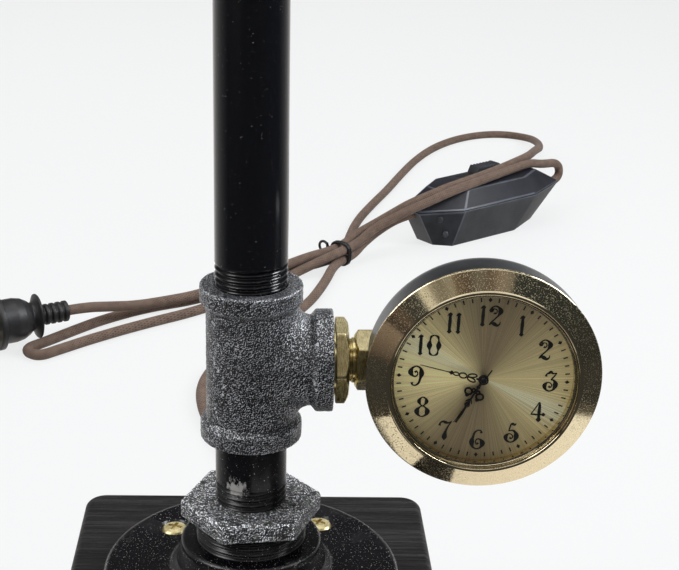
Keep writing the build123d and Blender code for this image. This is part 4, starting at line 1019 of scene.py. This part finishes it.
def buildHexBushing():
    corner = hexFitting["corner"]
    flat = corner * math.cos(math.pi / 6)
    low, high = levels["hexLow"], levels["hexTop"]
    middle, half = (low + high) / 2, (high - low) / 2
    angles = [math.radians(hexFitting["turn"] + 30 + 60 * side) for side in range(3)]

    def field(spots):
        x, y, z = spots.T
        sides = [np.abs(x * math.cos(angle) + y * math.sin(angle)) - flat for angle in angles]
        whole = sides[0]
        for side in sides[1:]:
            whole = easedMax(whole, side, hexFitting["cornerEase"])
        return easedMax(whole, np.abs(z) - half, hexFitting["ease"])

    corners = []
    for height in (-half, half):
        for side in range(6):
            angle = math.radians(hexFitting["turn"] + 60 * side)
            corners.append((corner * math.cos(angle), corner * math.sin(angle), height))
    seed = meshFrom("plate", corners, ringFaces(2, 6) + [tuple(range(6)), tuple(range(6, 12))])
    mesh = castMesh("hexPlate", [seed], field, lambda spots: np.hypot(spots[:, 0], spots[:, 1]) < 9.0,
                    place(0, 0, middle), hexFitting["grit"])
    newPiece("hexBushingHead", mesh, "lamp_base", "malleable_iron", hexIron(), "hex_bushing")
    start = levels["hubTop"] - 3
    mesh = threadedMesh("bushingThread", low + 0.5 - start, [(2.4, low - start - 0.6)], place(0, 0, start),
                        hexFitting["thread"], hexFitting["bore"])
    iron = enamelFinish("threadIron", (0.012, 0.012, 0.014), 0.2)
    newPiece("hexBushingThread", mesh, "lamp_base", "malleable_iron", iron)


def hexIron():
    # the bushing is a little browner, and file marks cross it
    material = castFinish("bushingIron", 4.0, 0.5)
    shader = material.node_tree.nodes["Principled BSDF"]
    old = shader.inputs["Base Color"].links[0].from_socket
    marks = speckle(material, placeInMm(material, (0.35, 2.6, 1)), 1.0, 4.0, 0.7)
    brown = mixed(material, greyed(material, marks, [(0.46, 0), (0.64, 0.6)]), old, (0.42, 0.4, 0.34, 1))
    scratches = speckle(material, placeInMm(material, (0.25, 1.3, 1)), 0.7, 3.0, 0.7)
    scratches = greyed(material, scratches, [(0.42, 0.12), (0.53, 1)])
    join(material, mixed(material, 1.0, brown, scratches, "MULTIPLY"), shader, "Base Color")
    return material


buildTee()
buildHexBushing()
print("castings made")


# brass hexes of the branch: low and high are how far their corners are turned down at each end
brassHexes = {
    "bushing": {"x": 24.7, "length": 3.8, "corner": 12.9, "turn": 31.2, "low": 0.3, "high": 1.2},
    "adapter": {"x": 30.4, "length": 6.0, "corner": 9.2, "turn": 48.5, "low": 1.1, "high": 0.3},
}


def turnedHex(name, sizes, matrix, bore):
    length, corner = sizes["length"], sizes["corner"]
    flat = corner * math.cos(math.pi / 6)
    slope, soft, count = 1.6, 0.12, 192
    stations = [0, 0.08, 0.2, 0.4, 0.6, 0.8, 1.0, 1.3, 1.6, 2.0]
    heights = {min(h, length / 2) for h in stations} | {max(length - h, length / 2) for h in stations}
    spots = []
    for height in sorted(heights):
        turnedOff = max(0, sizes["low"] - height, sizes["high"] - (length - height))
        edge = min(height, length - height)
        for step in range(count):
            angle = 2 * math.pi * step / count
            side = (angle - math.radians(sizes["turn"])) % (math.pi / 3) - math.pi / 6
            radius = min(flat / math.cos(side), corner - turnedOff * slope, corner - soft)
            radius -= max(0, soft - edge)
            spots.append((radius * math.cos(angle), radius * math.sin(angle), height))
    return boredMesh(name, spots, len(heights), bore, length, matrix, 28, lined=False)


def buildBranch():
    # the hex turns are measured from straight up, towards the front
    level = levels["branch"]
    for key, body, node in (("bushing", "lamp_base", "brass_bushing"), ("adapter", "clock", "brass_adapter")):
        sizes = brassHexes[key]
        mesh = turnedHex(key + "Hex", sizes, place(sizes["x"], 0, level, alongX), 6.7)
        newPiece("brass" + key.capitalize() + "Hex", mesh, body, "brass", satinBrass, node)
    collar = [(8.0, 0), (10.4, 0), (10.4, 1.0), (8.0, 1.0)]
    neck = [(6.3, 0), (6.85, 0.05), (6.85, 0.5), (6.4, 0.75),
            (6.4, 1.1), (6.75, 1.35), (6.75, 2.2), (6.2, 2.4)]
    tail = [(3.2, 0), (6.55, 0), (6.55, 6.0), (3.2, 6.0)]
    for name, profile, ease, x, segments, body, material in (
            ("brassCollar", collar, 0.15, 23.9, 96, "lamp_base", brightBrass),
            ("brassNeck", neck, 0.15, 28.3, 96, "clock", brightBrass),
            ("brassTail", tail, 0.3, 36.3, 64, "clock", satinBrass)):
        mesh = turnedMesh(name, rounded(profile, ease), place(x, 0, level, alongX), segments)
        newPiece(name, mesh, body, "brass", material)


buildBranch()
print("branch fitted")


# the clock: z is the distance in front of the branch axis
clock = {
    "x": 66.56,
    "dialTurn": -2.2,
    "case": 33.3,
    "wall": 2.2,
    "shoulder": 12.5,
    "back": -7.2,
    "front": 12.85,
    "dialLevel": 12.6,
    "dialRadius": 25.55,
    "numeralRadius": 19.2,
    "numeralSize": 6.1,
    "tickRadius": 24.0,
    "tickHalf": 0.2,
    "numeralWeight": 1.25,
    # (turn, height, boss radius, bore) of each hand
    "hands": {
        "hour": (-206.5, 13.5, 1.5, 0.96),
        "minute": (-282.5, 14.1, 1.45, 0.96),
        "second": (-210.0, 14.62, 0.8, 0.0),
    },
    # the crystal as (radius, height), flat below and domed above
    "crystal": [
        (0.0, 15.35), (12.0, 15.3), (22.0, 15.18), (26.25, 15.12), (26.25, 15.8), (24.0, 15.98),
        (18.0, 16.16), (9.0, 16.27), (0.0, 16.3),
    ],
    "bezel": [
        (31.0, 12.95), (33.2, 12.95), (33.8, 13.25), (33.8, 13.75), (33.55, 13.98), (28.1, 16.6),
        (27.75, 16.92), (27.3, 17.0), (26.95, 16.85), (26.8, 16.5), (26.65, 16.75), (26.4, 16.7),
        (26.32, 16.3), (26.32, 15.12), (25.62, 15.08), (25.56, 12.75), (25.56, 12.6), (27.6, 12.6),
        (27.6, 12.12), (30.4, 12.12), (30.4, 12.95),
    ],
    "caseColors": ((0.075, 0.079, 0.087), (0.12, 0.126, 0.138)),
    "bezelColor": (0.76, 0.665, 0.45),
    "bezelTarnish": (0.72, 0.58, 0.4),
    "dialColor": (0.285, 0.215, 0.11),
    # (rays round the dial, share of the streaks)
    "dialRays": ((60.0, 0.1), (190.0, 0.3), (420.0, 0.6)),
    # the painted highlight fans multiply the colour, and the left side is painted paler too; the painted
    # glint stands alone
    "dialFanHighlight": (2.7, 3.0, 2.85),
    "dialLeftHighlight": (1.5, 1.54, 1.56),
    "dialGlint": (0.95, 0.98, 0.74),
}
clockPlace = place(clock["x"], 0, levels["branch"], Matrix.Rotation(math.radians(90), 4, "X"))
insertPlace = clockPlace @ Matrix.Rotation(math.radians(clock["dialTurn"]), 4, "Z")


def caseFinish():
    material, shader = newFinish("caseSatin", (0.05, 0.05, 0.055), 0.34, 0.85)
    spots = placeInMm(material)
    tones = graded(material, speckle(material, spots, 7.0, 3.0), list(zip((0.3, 0.7), clock["caseColors"])))
    join(material, tones, shader, "Base Color")
    fine = speckle(material, spots, 0.3, 2.0)
    join(material, greyed(material, fine, [(0.3, 0.3), (0.7, 0.42)]), shader, "Roughness")
    relief(material, shader, fine, 0.02, 0.5)
    return material


def fromClock(material, depth=1):
    # object coordinates in millimetres about the clock's axis; depth 0 flattens them
    center = clockPlace.translation * 1000
    return placeInMm(material, (1, depth, 1), (-center.x, 0, -center.z))


def bezelFinish():
    # polished gold wash, a little tarnished, with a fine sparkle on the slope
    material, shader = newFinish("bezelGold", clock["bezelColor"], 0.09, 1.0)
    spots = placeInMm(material)
    fine = speckle(material, spots, 0.3, 3.0, 0.7)
    tone = clock["bezelColor"]
    color = graded(material, fine, [(0.3, toned(tone, 0.82)), (0.7, toned(tone, 1.12))])
    tarnish = greyed(material, speckle(material, spots, 11.0, 3.0), [(0.35, 0), (0.7, 0.15)])
    join(material, mixed(material, tarnish, color, (*clock["bezelTarnish"], 1)), shader, "Base Color")
    reach = vectorMaths(material, "LENGTH", fromClock(material, 0))["Value"]
    slope = maths(material, "GREATER_THAN", reach, 28.0)
    sparkle = maths(material, "MULTIPLY", speckle(material, spots, 0.34, 1.0), slope)
    join(material, greyed(material, sparkle, [(0.54, 0.04), (0.68, 0.42)]), shader, "Roughness")
    relief(material, shader, sparkle, 0.02, 0.4)
    return material


def dialFinish():
    # brass brushed in rays from the centre, with painted highlights: the two bright fans such a dial shows, a
    # paler left side and a narrow glint
    material, shader = newFinish("dialSunray", clock["dialColor"], 0.4, 0.15, Anisotropic=0.6)
    x, _, z = axes(material, fromClock(material))
    angle = maths(material, "ARCTAN2", z, x)
    sine, cosine = maths(material, "SINE", angle), maths(material, "COSINE", angle)
    streak = None
    for (rays, share), depth in zip(clock["dialRays"], (0.0, 5.0, 9.0)):
        across, up = (maths(material, "MULTIPLY", part, rays) for part in (cosine, sine))
        around = addNode(material, "ShaderNodeCombineXYZ", {0: across, 1: up, 2: depth})
        layer = maths(material, "MULTIPLY", speckle(material, around.outputs[0], 4.0), share)
        streak = maths(material, "ADD", streak, layer) if streak else layer

    def fans(turn, power):
        facing = maths(material, "COSINE", maths(material, "ADD", angle, math.radians(turn)))
        return maths(material, "POWER", maths(material, "ABSOLUTE", facing), power)

    levels = ((0.36, 0.8), (0.5, 1.0), (0.64, 1.26))
    shades = [(start, toned(clock["dialColor"], level)) for start, level in levels]
    color = graded(material, streak, shades)
    # painted highlight: two opposite fans of the dial made brighter
    color = mixed(material, fans(12, 2.0), color, (*clock["dialFanHighlight"], 1), "MULTIPLY")
    # painted highlight: the left side of the fans made paler
    left = greyed(material, maths(material, "MULTIPLY", cosine, -1.0), [(0.2, 0), (0.9, 1)])
    left = maths(material, "MULTIPLY", left, fans(12, 2.0))
    color = mixed(material, left, color, (*clock["dialLeftHighlight"], 1), "MULTIPLY")
    # painted glint: a narrow bright fan
    narrow = greyed(material, streak, [(0.42, 0.15), (0.6, 1)])
    narrow = maths(material, "MULTIPLY", fans(27, 90.0), narrow)
    join(material, mixed(material, narrow, color, (*clock["dialGlint"], 1)), shader, "Base Color")
    relief(material, shader, streak, 0.03, 0.4)
    tangent = addNode(material, "ShaderNodeTangent", direction_type="RADIAL", axis="Y")
    join(material, tangent.outputs[0], shader, "Tangent")
    return material


def clearFinish(name, color, rough=0.0):
    # glass that lets lamp light straight through to what is behind it
    material, shader = newFinish(name, color, rough, Transmission_Weight=1.0, IOR=1.46)
    smear = speckle(material, placeInMm(material), 9.0, 3.0)
    join(material, greyed(material, smear, [(0.4, rough), (0.8, rough + 0.02)]), shader, "Roughness")
    path = addNode(material, "ShaderNodeLightPath").outputs
    passing = maths(material, "MAXIMUM", path["Is Shadow Ray"], path["Is Diffuse Ray"])
    clear = addNode(material, "ShaderNodeBsdfTransparent", {"Color": (*color, 1)})
    showShader(material, mixedShader(material, passing, shader, clear))
    return material


def buildCase():
    # a dish with a round shoulder; its wall is cut away where the branch enters
    radius, bend, back, front, wall = (clock[key] for key in ("case", "shoulder", "back", "front", "wall"))

    def shoulder(radius, bend, back):
        turns = [math.radians(90 * step / 16) for step in range(17)]
        middle = radius - bend
        return [(middle + bend * math.sin(turn), back + bend - bend * math.cos(turn)) for turn in turns]

    inner = radius - wall
    profile = [
        (0.0, back), *shoulder(radius, bend, back),
        (radius, front - 0.3), (radius - 0.3, front), (inner + 0.3, front), (inner, front - 0.3),
        *reversed(shoulder(inner, bend - wall, back + wall)), (0.0, back + wall),
    ]
    cutter = turnedMesh("spot", [(0, -4), (9.6, -4), (9.6, 3.1), (0, 3.1)],
                        place(33.3, 0, levels["branch"], alongX), 64)
    cut = newObject("cutter", cutter)
    whole = newObject("whole", turnedMesh("case", profile, clockPlace, 160))
    boolean = whole.modifiers.new("cut", "BOOLEAN")
    boolean.operation = "DIFFERENCE"
    boolean.object = cut
    boolean.solver = "EXACT"
    mesh = smoothMesh(finishedMesh(whole, cut), 38)
    newPiece("clockCaseShell", mesh, "clock", "case_metal", caseFinish(), "clock_case")
    boss = [(6.7, 0), (8.9, 0), (8.9, 6.2), (6.7, 6.2)]
    mesh = turnedMesh("boss", boss, place(36.45, 0, levels["branch"], alongX), 64, closed=True)
    newPiece("clockCaseBoss", mesh, "clock", "case_metal", caseFinish())


# ornate figures and hands, drawn with strokes of changing width: (x, y, half width)
curl = [
    (0.18, -0.4, 0.045), (0, -0.49, 0.03), (-0.18, -0.41, 0.045), (-0.25, -0.22, 0.08), (-0.13, -0.06, 0.03),
    (0.02, -0.09, 0.025), (0.09, -0.2, 0.025), (0.02, -0.3, 0.03), (-0.06, -0.24, 0.045),
]
figures = {
    "0": [[(0, 0.5, 0.02), (0.16, 0.43, 0.045), (0.2, 0.25, 0.03), (0.22, 0, 0.1), (0.2, -0.25, 0.03),
           (0.16, -0.43, 0.045), (0, -0.5, 0.02), (-0.16, -0.43, 0.045), (-0.2, -0.25, 0.03), (-0.22, 0, 0.1),
           (-0.2, 0.25, 0.03), (-0.16, 0.43, 0.045), (0, 0.5, 0.02)]],
    "1": [[(0, 0.53, 0), (0, 0.44, 0.085), (0, 0.34, 0.055), (0, 0, 0.065), (0, -0.34, 0.055),
           (0, -0.43, 0.085), (0, -0.54, 0)],
          [(-0.15, 0.33, 0), (-0.08, 0.4, 0.03), (0, 0.44, 0.04)]],
    "2": [[(-0.05, 0.17, 0.05), (0.01, 0.13, 0.03), (0.08, 0.2, 0.022), (0.06, 0.32, 0.022),
           (-0.06, 0.36, 0.025), (-0.19, 0.27, 0.08), (-0.16, 0.42, 0.03), (0, 0.5, 0.03),
           (0.17, 0.42, 0.045), (0.25, 0.25, 0.1), (0.17, 0.06, 0.04), (0, -0.14, 0.03),
           (-0.15, -0.3, 0.03), (-0.24, -0.43, 0.02)],
          [(-0.24, -0.42, 0.02), (-0.12, -0.34, 0.05), (0, -0.38, 0.075), (0.14, -0.45, 0.05),
           (0.25, -0.38, 0.03), (0.27, -0.26, 0.015)]],
    "3": [[(-0.22, 0.24, 0.05), (-0.2, 0.36, 0.03), (-0.08, 0.43, 0.045), (-0.01, 0.48, 0.06),
           (0.1, 0.41, 0.035), (0.28, 0.44, 0.02)],
          [(0.27, 0.43, 0.025), (0.16, 0.26, 0.03), (0.03, 0.09, 0.03)],
          [(0.02, 0.09, 0.025), (0.17, 0.05, 0.04), (0.26, -0.15, 0.1), *curl]],
    "4": [[(0.03, 0.5, 0.015), (-0.12, 0.2, 0.025), (-0.32, -0.13, 0.02)],
          [(-0.34, -0.14, 0.03), (-0.1, -0.15, 0.035), (0.16, -0.15, 0.03), (0.28, -0.14, 0.075),
           (0.38, -0.15, 0)],
          [(0.06, 0.5, 0.015), (0.06, 0.3, 0.05), (0.06, 0, 0.065), (0.06, -0.3, 0.055),
           (0.06, -0.42, 0.1), (0.06, -0.55, 0)]],
    "5": [[(-0.13, 0.07, 0.02), (-0.09, 0.25, 0.03), (-0.05, 0.44, 0.03)],
          [(-0.06, 0.43, 0.03), (0.04, 0.46, 0.06), (0.14, 0.41, 0.035), (0.2, 0.5, 0.02)],
          [(-0.14, 0.08, 0.02), (0.03, 0.13, 0.035), (0.18, 0.05, 0.05), (0.26, -0.16, 0.1), *curl]],
    "6": [[(0.17, 0.33, 0.055), (0.14, 0.45, 0.03), (0, 0.48, 0.03), (-0.15, 0.36, 0.04), (-0.22, 0.1, 0.05),
           (-0.26, -0.14, 0.1), (-0.19, -0.39, 0.045), (0, -0.49, 0.03), (0.19, -0.39, 0.045),
           (0.26, -0.18, 0.1), (0.14, 0, 0.04), (0, 0.02, 0.03), (-0.08, -0.1, 0.025), (-0.02, -0.24, 0.03),
           (0.07, -0.18, 0.045)]],
    "7": [[(-0.28, 0.22, 0.05), (-0.24, 0.37, 0.035), (-0.12, 0.44, 0.045), (0, 0.4, 0.06),
           (0.14, 0.38, 0.035), (0.3, 0.46, 0.02)],
          [(0.28, 0.44, 0.02), (0.14, 0.2, 0.03), (0.03, -0.1, 0.05), (0, -0.36, 0.1), (0, -0.55, 0)]],
    "8": [[(0, 0.5, 0.025), (0.13, 0.42, 0.04), (0.18, 0.28, 0.075), (0.1, 0.12, 0.03), (0, 0.05, 0.03),
           (-0.1, 0.12, 0.03), (-0.18, 0.28, 0.075), (-0.13, 0.42, 0.04), (0, 0.5, 0.025)],
          [(0, 0.05, 0.025), (0.16, -0.05, 0.04), (0.25, -0.23, 0.1), (0.17, -0.42, 0.045), (0, -0.5, 0.025),
           (-0.17, -0.42, 0.045), (-0.25, -0.23, 0.1), (-0.16, -0.05, 0.04), (0, 0.05, 0.025)]],
}
figures["9"] = [[(-x, -y, width) for x, y, width in stroke] for stroke in figures["6"]]


def strokeLine(stroke, steps=7):
    # a smooth line through the points of a stroke
    points = [Vector(point) for point in stroke]
    looped = (points[0].xy - points[-1].xy).length < 1e-4
    ends = (points[-2], points[1]) if looped else (points[0] * 2 - points[1], points[-1] * 2 - points[-2])
    chain = [ends[0], *points, ends[1]]
    line = []
    for a, b, c, d in zip(chain, chain[1:], chain[2:], chain[3:]):
        for step in range(steps):
            t = step / steps
            line.append(0.5 * (2 * b + (c - a) * t + (2 * a - 5 * b + 4 * c - d) * t * t
                               + (3 * b - a - 3 * c + d) * t ** 3))
    line.append(points[-1])
    return line


def strokeMesh(name, strokes, matrix, thick=0.0):
    # flat ribbons, given a thickness if asked
    spots, faces = [], []
    for stroke in strokes:
        line = strokeLine(stroke)
        first, count = len(spots), len(line)
        for index, point in enumerate(line):
            way = (line[min(count - 1, index + 1)] - line[max(0, index - 1)]).xy.normalized()
            side = Vector((-way.y, way.x)) * max(0.006, abs(point.z))
            spots += [(*(point.xy + side * sign), 0) for sign in (1, -1)]
        if thick:
            low = len(spots)
            spots += [(x, y, -thick) for x, y, _ in spots[first:low]]
            for index in range(count - 1):
                a, b = first + 2 * index, low + 2 * index
                faces += [(a, a + 2, a + 3, a + 1), (b, b + 1, b + 3, b + 2),
                          (a, b, b + 2, a + 2), (a + 1, a + 3, b + 3, b + 1)]
            faces += [(first, first + 1, low + 1, low),
                      (low - 2, 2 * low - first - 2, 2 * low - first - 1, low - 1)]
        else:
            faces += [(a, a + 2, a + 3, a + 1) for a in range(first, first + 2 * count - 2, 2)]
    mesh = bpy.data.meshes.new(name)
    mesh.from_pydata([matrix @ (Vector(spot) * mm) for spot in spots], [], faces)
    work = bmesh.new()
    work.from_mesh(mesh)
    if thick:
        bmesh.ops.recalc_face_normals(work, faces=work.faces)
    else:
        front = matrix.to_3x3() @ Vector((0, 0, 1))
        for face in work.faces:
            if face.normal.dot(front) < 0:
                face.normal_flip()
    work.to_mesh(mesh)
    work.free()
    return smoothMesh(mesh, 30)


def inkFinish(name, rough):
    material, shader = newFinish(name, (0.004, 0.004, 0.004), rough)
    wear = speckle(material, placeInMm(material), 0.4, 3.0)
    tones = graded(material, wear, [(0.35, (0.003, 0.003, 0.003)), (0.8, (0.012, 0.011, 0.01))])
    join(material, tones, shader, "Base Color")
    return material


def tickStroke(tick):
    # a plain bar, or a small diamond at each hour
    turn, half = math.radians(6 * tick), clock["tickHalf"]
    way = Vector((math.sin(turn), math.cos(turn)))
    parts = [(shift, half) for shift in (-0.66, 0.0, 0.66)]
    if tick % 5 == 0:
        parts = [(-0.75, 0.0), (-0.3, 0.33), (0.0, 0.55), (0.3, 0.33), (0.75, 0.0)]
    return [(*(way * clock["tickRadius"] + way * shift), width) for shift, width in parts]


def buildDial():
    level, size, weight = clock["dialLevel"], clock["numeralSize"], clock["numeralWeight"]
    rings = [(clock["dialRadius"] * step / 12, level) for step in range(13)]
    rings += [(27.4, level), (27.4, level - 0.45), (0.0, level - 0.45)]
    mesh = turnedMesh("dial", rings, insertPlace, 180)
    newPiece("dialPlate", mesh, "clock_insert", "dial_metal", dialFinish(), "clock_dial")
    strokes = [tickStroke(tick) for tick in range(60)]
    for hour in range(1, 13):
        turn, text = math.radians(30 * hour), str(hour)
        spot = Vector((math.sin(turn), math.cos(turn))) * clock["numeralRadius"]
        spread = {"10": 0.62, "11": 0.4, "12": 0.55}.get(text, 0)
        for index, letter in enumerate(text):
            middle = spot.x + (index - (len(text) - 1) / 2) * spread * size
            strokes += [[(middle + x * size * 0.98, spot.y + y * size, width * size * weight)
                         for x, y, width in stroke] for stroke in figures[letter]]
    mesh = strokeMesh("printing", strokes, insertPlace @ place(0, 0, level + 0.05))
    newPiece("dialPrinting", mesh, "clock_insert", "hand_paint", inkFinish("dialInk", 0.5))


def loopStroke(x, y, across, along, width, lean=0.0):
    points = []
    for step in range(9):
        angle = 2 * math.pi * step / 8
        u, v = across * math.cos(angle), along * math.sin(angle)
        points.append((x + u * math.cos(lean) - v * math.sin(lean),
                       y + u * math.sin(lean) + v * math.cos(lean), width))
    points[-1] = points[0]
    return points


def handStrokes():
    # scrolls on both sides of the hour hand, and open loops along the minute hand
    hour = [[(0, 0.9, 0.5), (0, 2.1, 0.35), (0, 2.7, 0.6), (0, 3.3, 0.3)],
            [(0, 3.3, 0.3), (0, 5.0, 0.26), (0, 7.4, 0.3)]]
    minute = [[(0, 1.0, 0.5), (0, 1.7, 0.3), (0, 2.2, 0.25)],
              loopStroke(0, 6.15, 0.75, 1.1, 0.2), loopStroke(0, 8.2, 0.5, 0.85, 0.17),
              [(0, 8.9, 0.14), (0, 9.6, 0.62), (0, 10.5, 0.16), (0, 14.0, 0.14), (0, 18.8, 0.08)]]
    for side in (-1, 1):
        hour += [loopStroke(1.85 * side, 5.1, 1.05, 0.95, 0.28, -0.3 * side),
                 loopStroke(0.72 * side, 4.2, 0.5, 0.55, 0.24),
                 [(2.3 * side, 6.1, 0.1), (1.7 * side, 6.4, 0.42), (1.1 * side, 6.2, 0.14)],
                 [(0, 7.0, 0.3), (0.6 * side, 7.6, 0.2), (1.0 * side, 8.2, 0.1)]]
        minute.append(loopStroke(0.62 * side, 3.5, 0.55, 1.25, 0.2, 0.25 * side))
    hour.append([(0, 7.6, 0.2), (0, 9.0, 0.85), (0, 9.9, 0.34), (0, 12.0, 0.4), (0, 15.3, 0.26)])
    second = [[(0, -4.1, 0.2), (0, -1.5, 0.18), (0, 0, 0.12), (0, 6, 0.09), (0, 15.2, 0.06)]]
    return {"hour": hour, "minute": minute, "second": second}


def buildHands():
    ink = inkFinish("handEnamel", 0.3)
    for body, strokes in handStrokes().items():
        turn, level, boss, inner = clock["hands"][body]
        matrix = insertPlace @ place(0, 0, level, Matrix.Rotation(math.radians(turn), 4, "Z"))
        name = body + "HandShape"
        newPiece(name, strokeMesh(name, strokes, matrix, 0.18), body, "hand_paint", ink, body + "_hand")
        disc = [(inner, -0.2), (boss, -0.2), (boss, 0.0), (max(boss - 0.3, inner), 0.13), (inner, 0.13)]
        mesh = turnedMesh(name + "Boss", rounded(disc, 0.08), matrix, 48)
        newPiece(name + "Boss", mesh, body, "hand_paint", ink)


def buildClock():
    buildCase()
    mesh = turnedMesh("bezel", rounded(clock["bezel"], 0.12, 2), insertPlace, 200, closed=True, degrees=24)
    newPiece("bezelRing", mesh, "clock_insert", "bezel_metal", bezelFinish(), "clock_bezel")
    mesh = turnedMesh("crystal", clock["crystal"], insertPlace, 160, degrees=20)
    glass = clearFinish("watchCrystal", (1, 1, 1))
    newPiece("crystalLens", mesh, "clock_insert", "crystal", glass, "clock_crystal")
    buildDial()
    buildHands()


buildClock()
print("clock built")


# the bulb
bulb = {
    "low": 397.0,               # height of the glass's lower edge
    "glass": [
        (12.4, 0), (12.4, 12), (20.5, 36), (29.0, 60), (32.0, 78), (27.9, 94.5), (16.2, 107.2), (0, 112),
    ],
    "wall": 0.9,
    "color": (1.0, 0.83, 0.55),
}


def bulbFinishes():
    glass = clearFinish("amberGlass", bulb["color"])
    stem = clearFinish("stemGlass", (0.97, 0.98, 0.97), 0.02)
    phosphor, shader = newFinish("phosphor", (1.0, 0.62, 0.16), 0.55, Emission_Strength=0.25)
    shader.inputs["Emission Color"].default_value = (1.0, 0.6, 0.2, 1)
    beads = speckle(phosphor, placeInMm(phosphor, (1, 1, 2)), 1.0)
    tones = graded(phosphor, beads, [(0.35, (0.95, 0.5, 0.1)), (0.7, (1.0, 0.72, 0.25))])
    join(phosphor, tones, shader, "Base Color")
    return glass, stem, phosphor


def plainFinish(name, color, rough, metal=0.0):
    # an everyday finish: small changes of tone, gloss and surface
    material, shader = newFinish(name, color, rough, metal)
    fine = speckle(material, placeInMm(material), 1.2, 3.0)
    tones = graded(material, fine, [(0.3, toned(color, 0.8)), (0.7, toned(color, 1.15))])
    join(material, tones, shader, "Base Color")
    join(material, greyed(material, fine, [(0.3, rough - 0.06), (0.7, rough + 0.08)]), shader, "Roughness")
    relief(material, shader, fine, 0.03, 0.5)
    return material


def feltFinish():
    material, shader = newFinish("blackFelt", (0.02, 0.02, 0.022), 0.95,
                                 Sheen_Weight=0.6, Sheen_Roughness=0.4)
    values = {"Vector": placeInMm(material), "Scale": 2.2, "Detail": 5.0, "Roughness": 0.8, "Distortion": 2.0}
    fibres = addNode(material, "ShaderNodeTexNoise", values).outputs["Fac"]
    tones = graded(material, fibres, [(0.3, (0.012, 0.012, 0.013)), (0.7, (0.04, 0.04, 0.043))])
    join(material, tones, shader, "Base Color")
    relief(material, shader, fibres, 0.25, 0.9)
    return material


def refinish(thing, material):
    thing.data.materials.clear()
    thing.data.materials.append(material)


def buildBulb():
    glass, stem, phosphor = bulbFinishes()
    top, wall = bulb["glass"][-1][1], bulb["wall"]
    line = strokeLine([(r, h, 0) for r, h in bulb["glass"]], 8)
    outer = [(max(0, point.x), min(point.y, top)) for point in line]
    # the inside drops by the wall only over the crown
    inner = [(max(0, r - wall), h - (wall if r < 20 and h > 60 else 0)) for r, h in reversed(outer)]
    mesh = turnedMesh("bulbGlass", outer + inner, place(levels["headX"], 0, bulb["low"]), 96, degrees=60)
    newPiece("bulbEnvelope", mesh, "bulb", "bulb_glass", glass, "bulb_glass")
    refinish(nodes["bulb_stem"], stem)
    refinish(nodes["bulb_filament"], phosphor)


buildBulb()
print("bulb blown")


# finishes of the pieces that keep their own shape
finishes = {
    "base_block": blackWood,
    "base_pad": feltFinish(),
    "base_cover": enamelFinish("coverEnamel", (0.012, 0.012, 0.012), 0.35),
    "cover_screws": plainFinish("screwSteel", (0.5, 0.5, 0.5), 0.35, 1.0),
    "cord_gland": mouldedFinish("glandRubber", (0.012, 0.012, 0.012), 0.6),
    "floor_flange": flangeEnamel,
    "flange_screws": brassFinish("screwBrass", 0.3, 1.05),
    "upper_elbow": castIron,
    "head_elbow": castIron,
    "socket_cup": castIron,
    "lamp_socket": mouldedFinish("socketPhenolic", (0.014, 0.011, 0.009), 0.25),
    "socket_ring": mouldedFinish("ringPhenolic", (0.014, 0.011, 0.009), 0.3),
    "screw_shell": brassFinish("shellBrass", 0.3),
    "centre_contact": brassFinish("contactBrass", 0.35),
    "bulb_cap": plainFinish("capMetal", (0.72, 0.72, 0.73), 0.3, 1.0),
    "insert_body": plainFinish("insertPlastic", (0.75, 0.75, 0.72), 0.5),
    "insert_gasket": plainFinish("gasketRubber", (0.03, 0.03, 0.03), 0.8),
    "movement_housing": mouldedFinish("movementPlastic", (0.02, 0.02, 0.02), 0.5),
    "movement_lid": mouldedFinish("lidPlastic", (0.025, 0.025, 0.026), 0.45),
    "movement_battery": plainFinish("batterySteel", (0.62, 0.62, 0.62), 0.28, 1.0),
    "movement_coil": plainFinish("coilCopper", (0.55, 0.2, 0.07), 0.35, 0.9),
    "movement_board": plainFinish("boardGreen", (0.01, 0.13, 0.05), 0.4),
    "hand_arbor": plainFinish("arborSteel", (0.55, 0.55, 0.55), 0.25, 1.0),
    "setting_knob": plainFinish("knobPlastic", (0.7, 0.7, 0.68), 0.35),
    "lower_wires": plainFinish("wireBlack", (0.015, 0.015, 0.016), 0.45),
    "arm_wires": plainFinish("wireBlackArm", (0.015, 0.015, 0.016), 0.45),
    "head_wires": plainFinish("wireBlackHead", (0.015, 0.015, 0.016), 0.45),
    "cord_cores": plainFinish("coreWhite", (0.5, 0.48, 0.45), 0.5),
    "wire_connectors": plainFinish("connectorOrange", (0.75, 0.18, 0.03), 0.4),
    "dimmer_board": plainFinish("dimmerGreen", (0.01, 0.13, 0.05), 0.4),
    "dimmer_screws": plainFinish("dimmerSteel", (0.4, 0.4, 0.4), 0.35, 1.0),
    "plug_blades": brassFinish("bladeBrass", 0.28, 1.1),
}
for key, material in finishes.items():
    refinish(nodes[key], material)
    smoothMesh(nodes[key].data, 35)
print("finishes given to", len(finishes), "kept pieces")
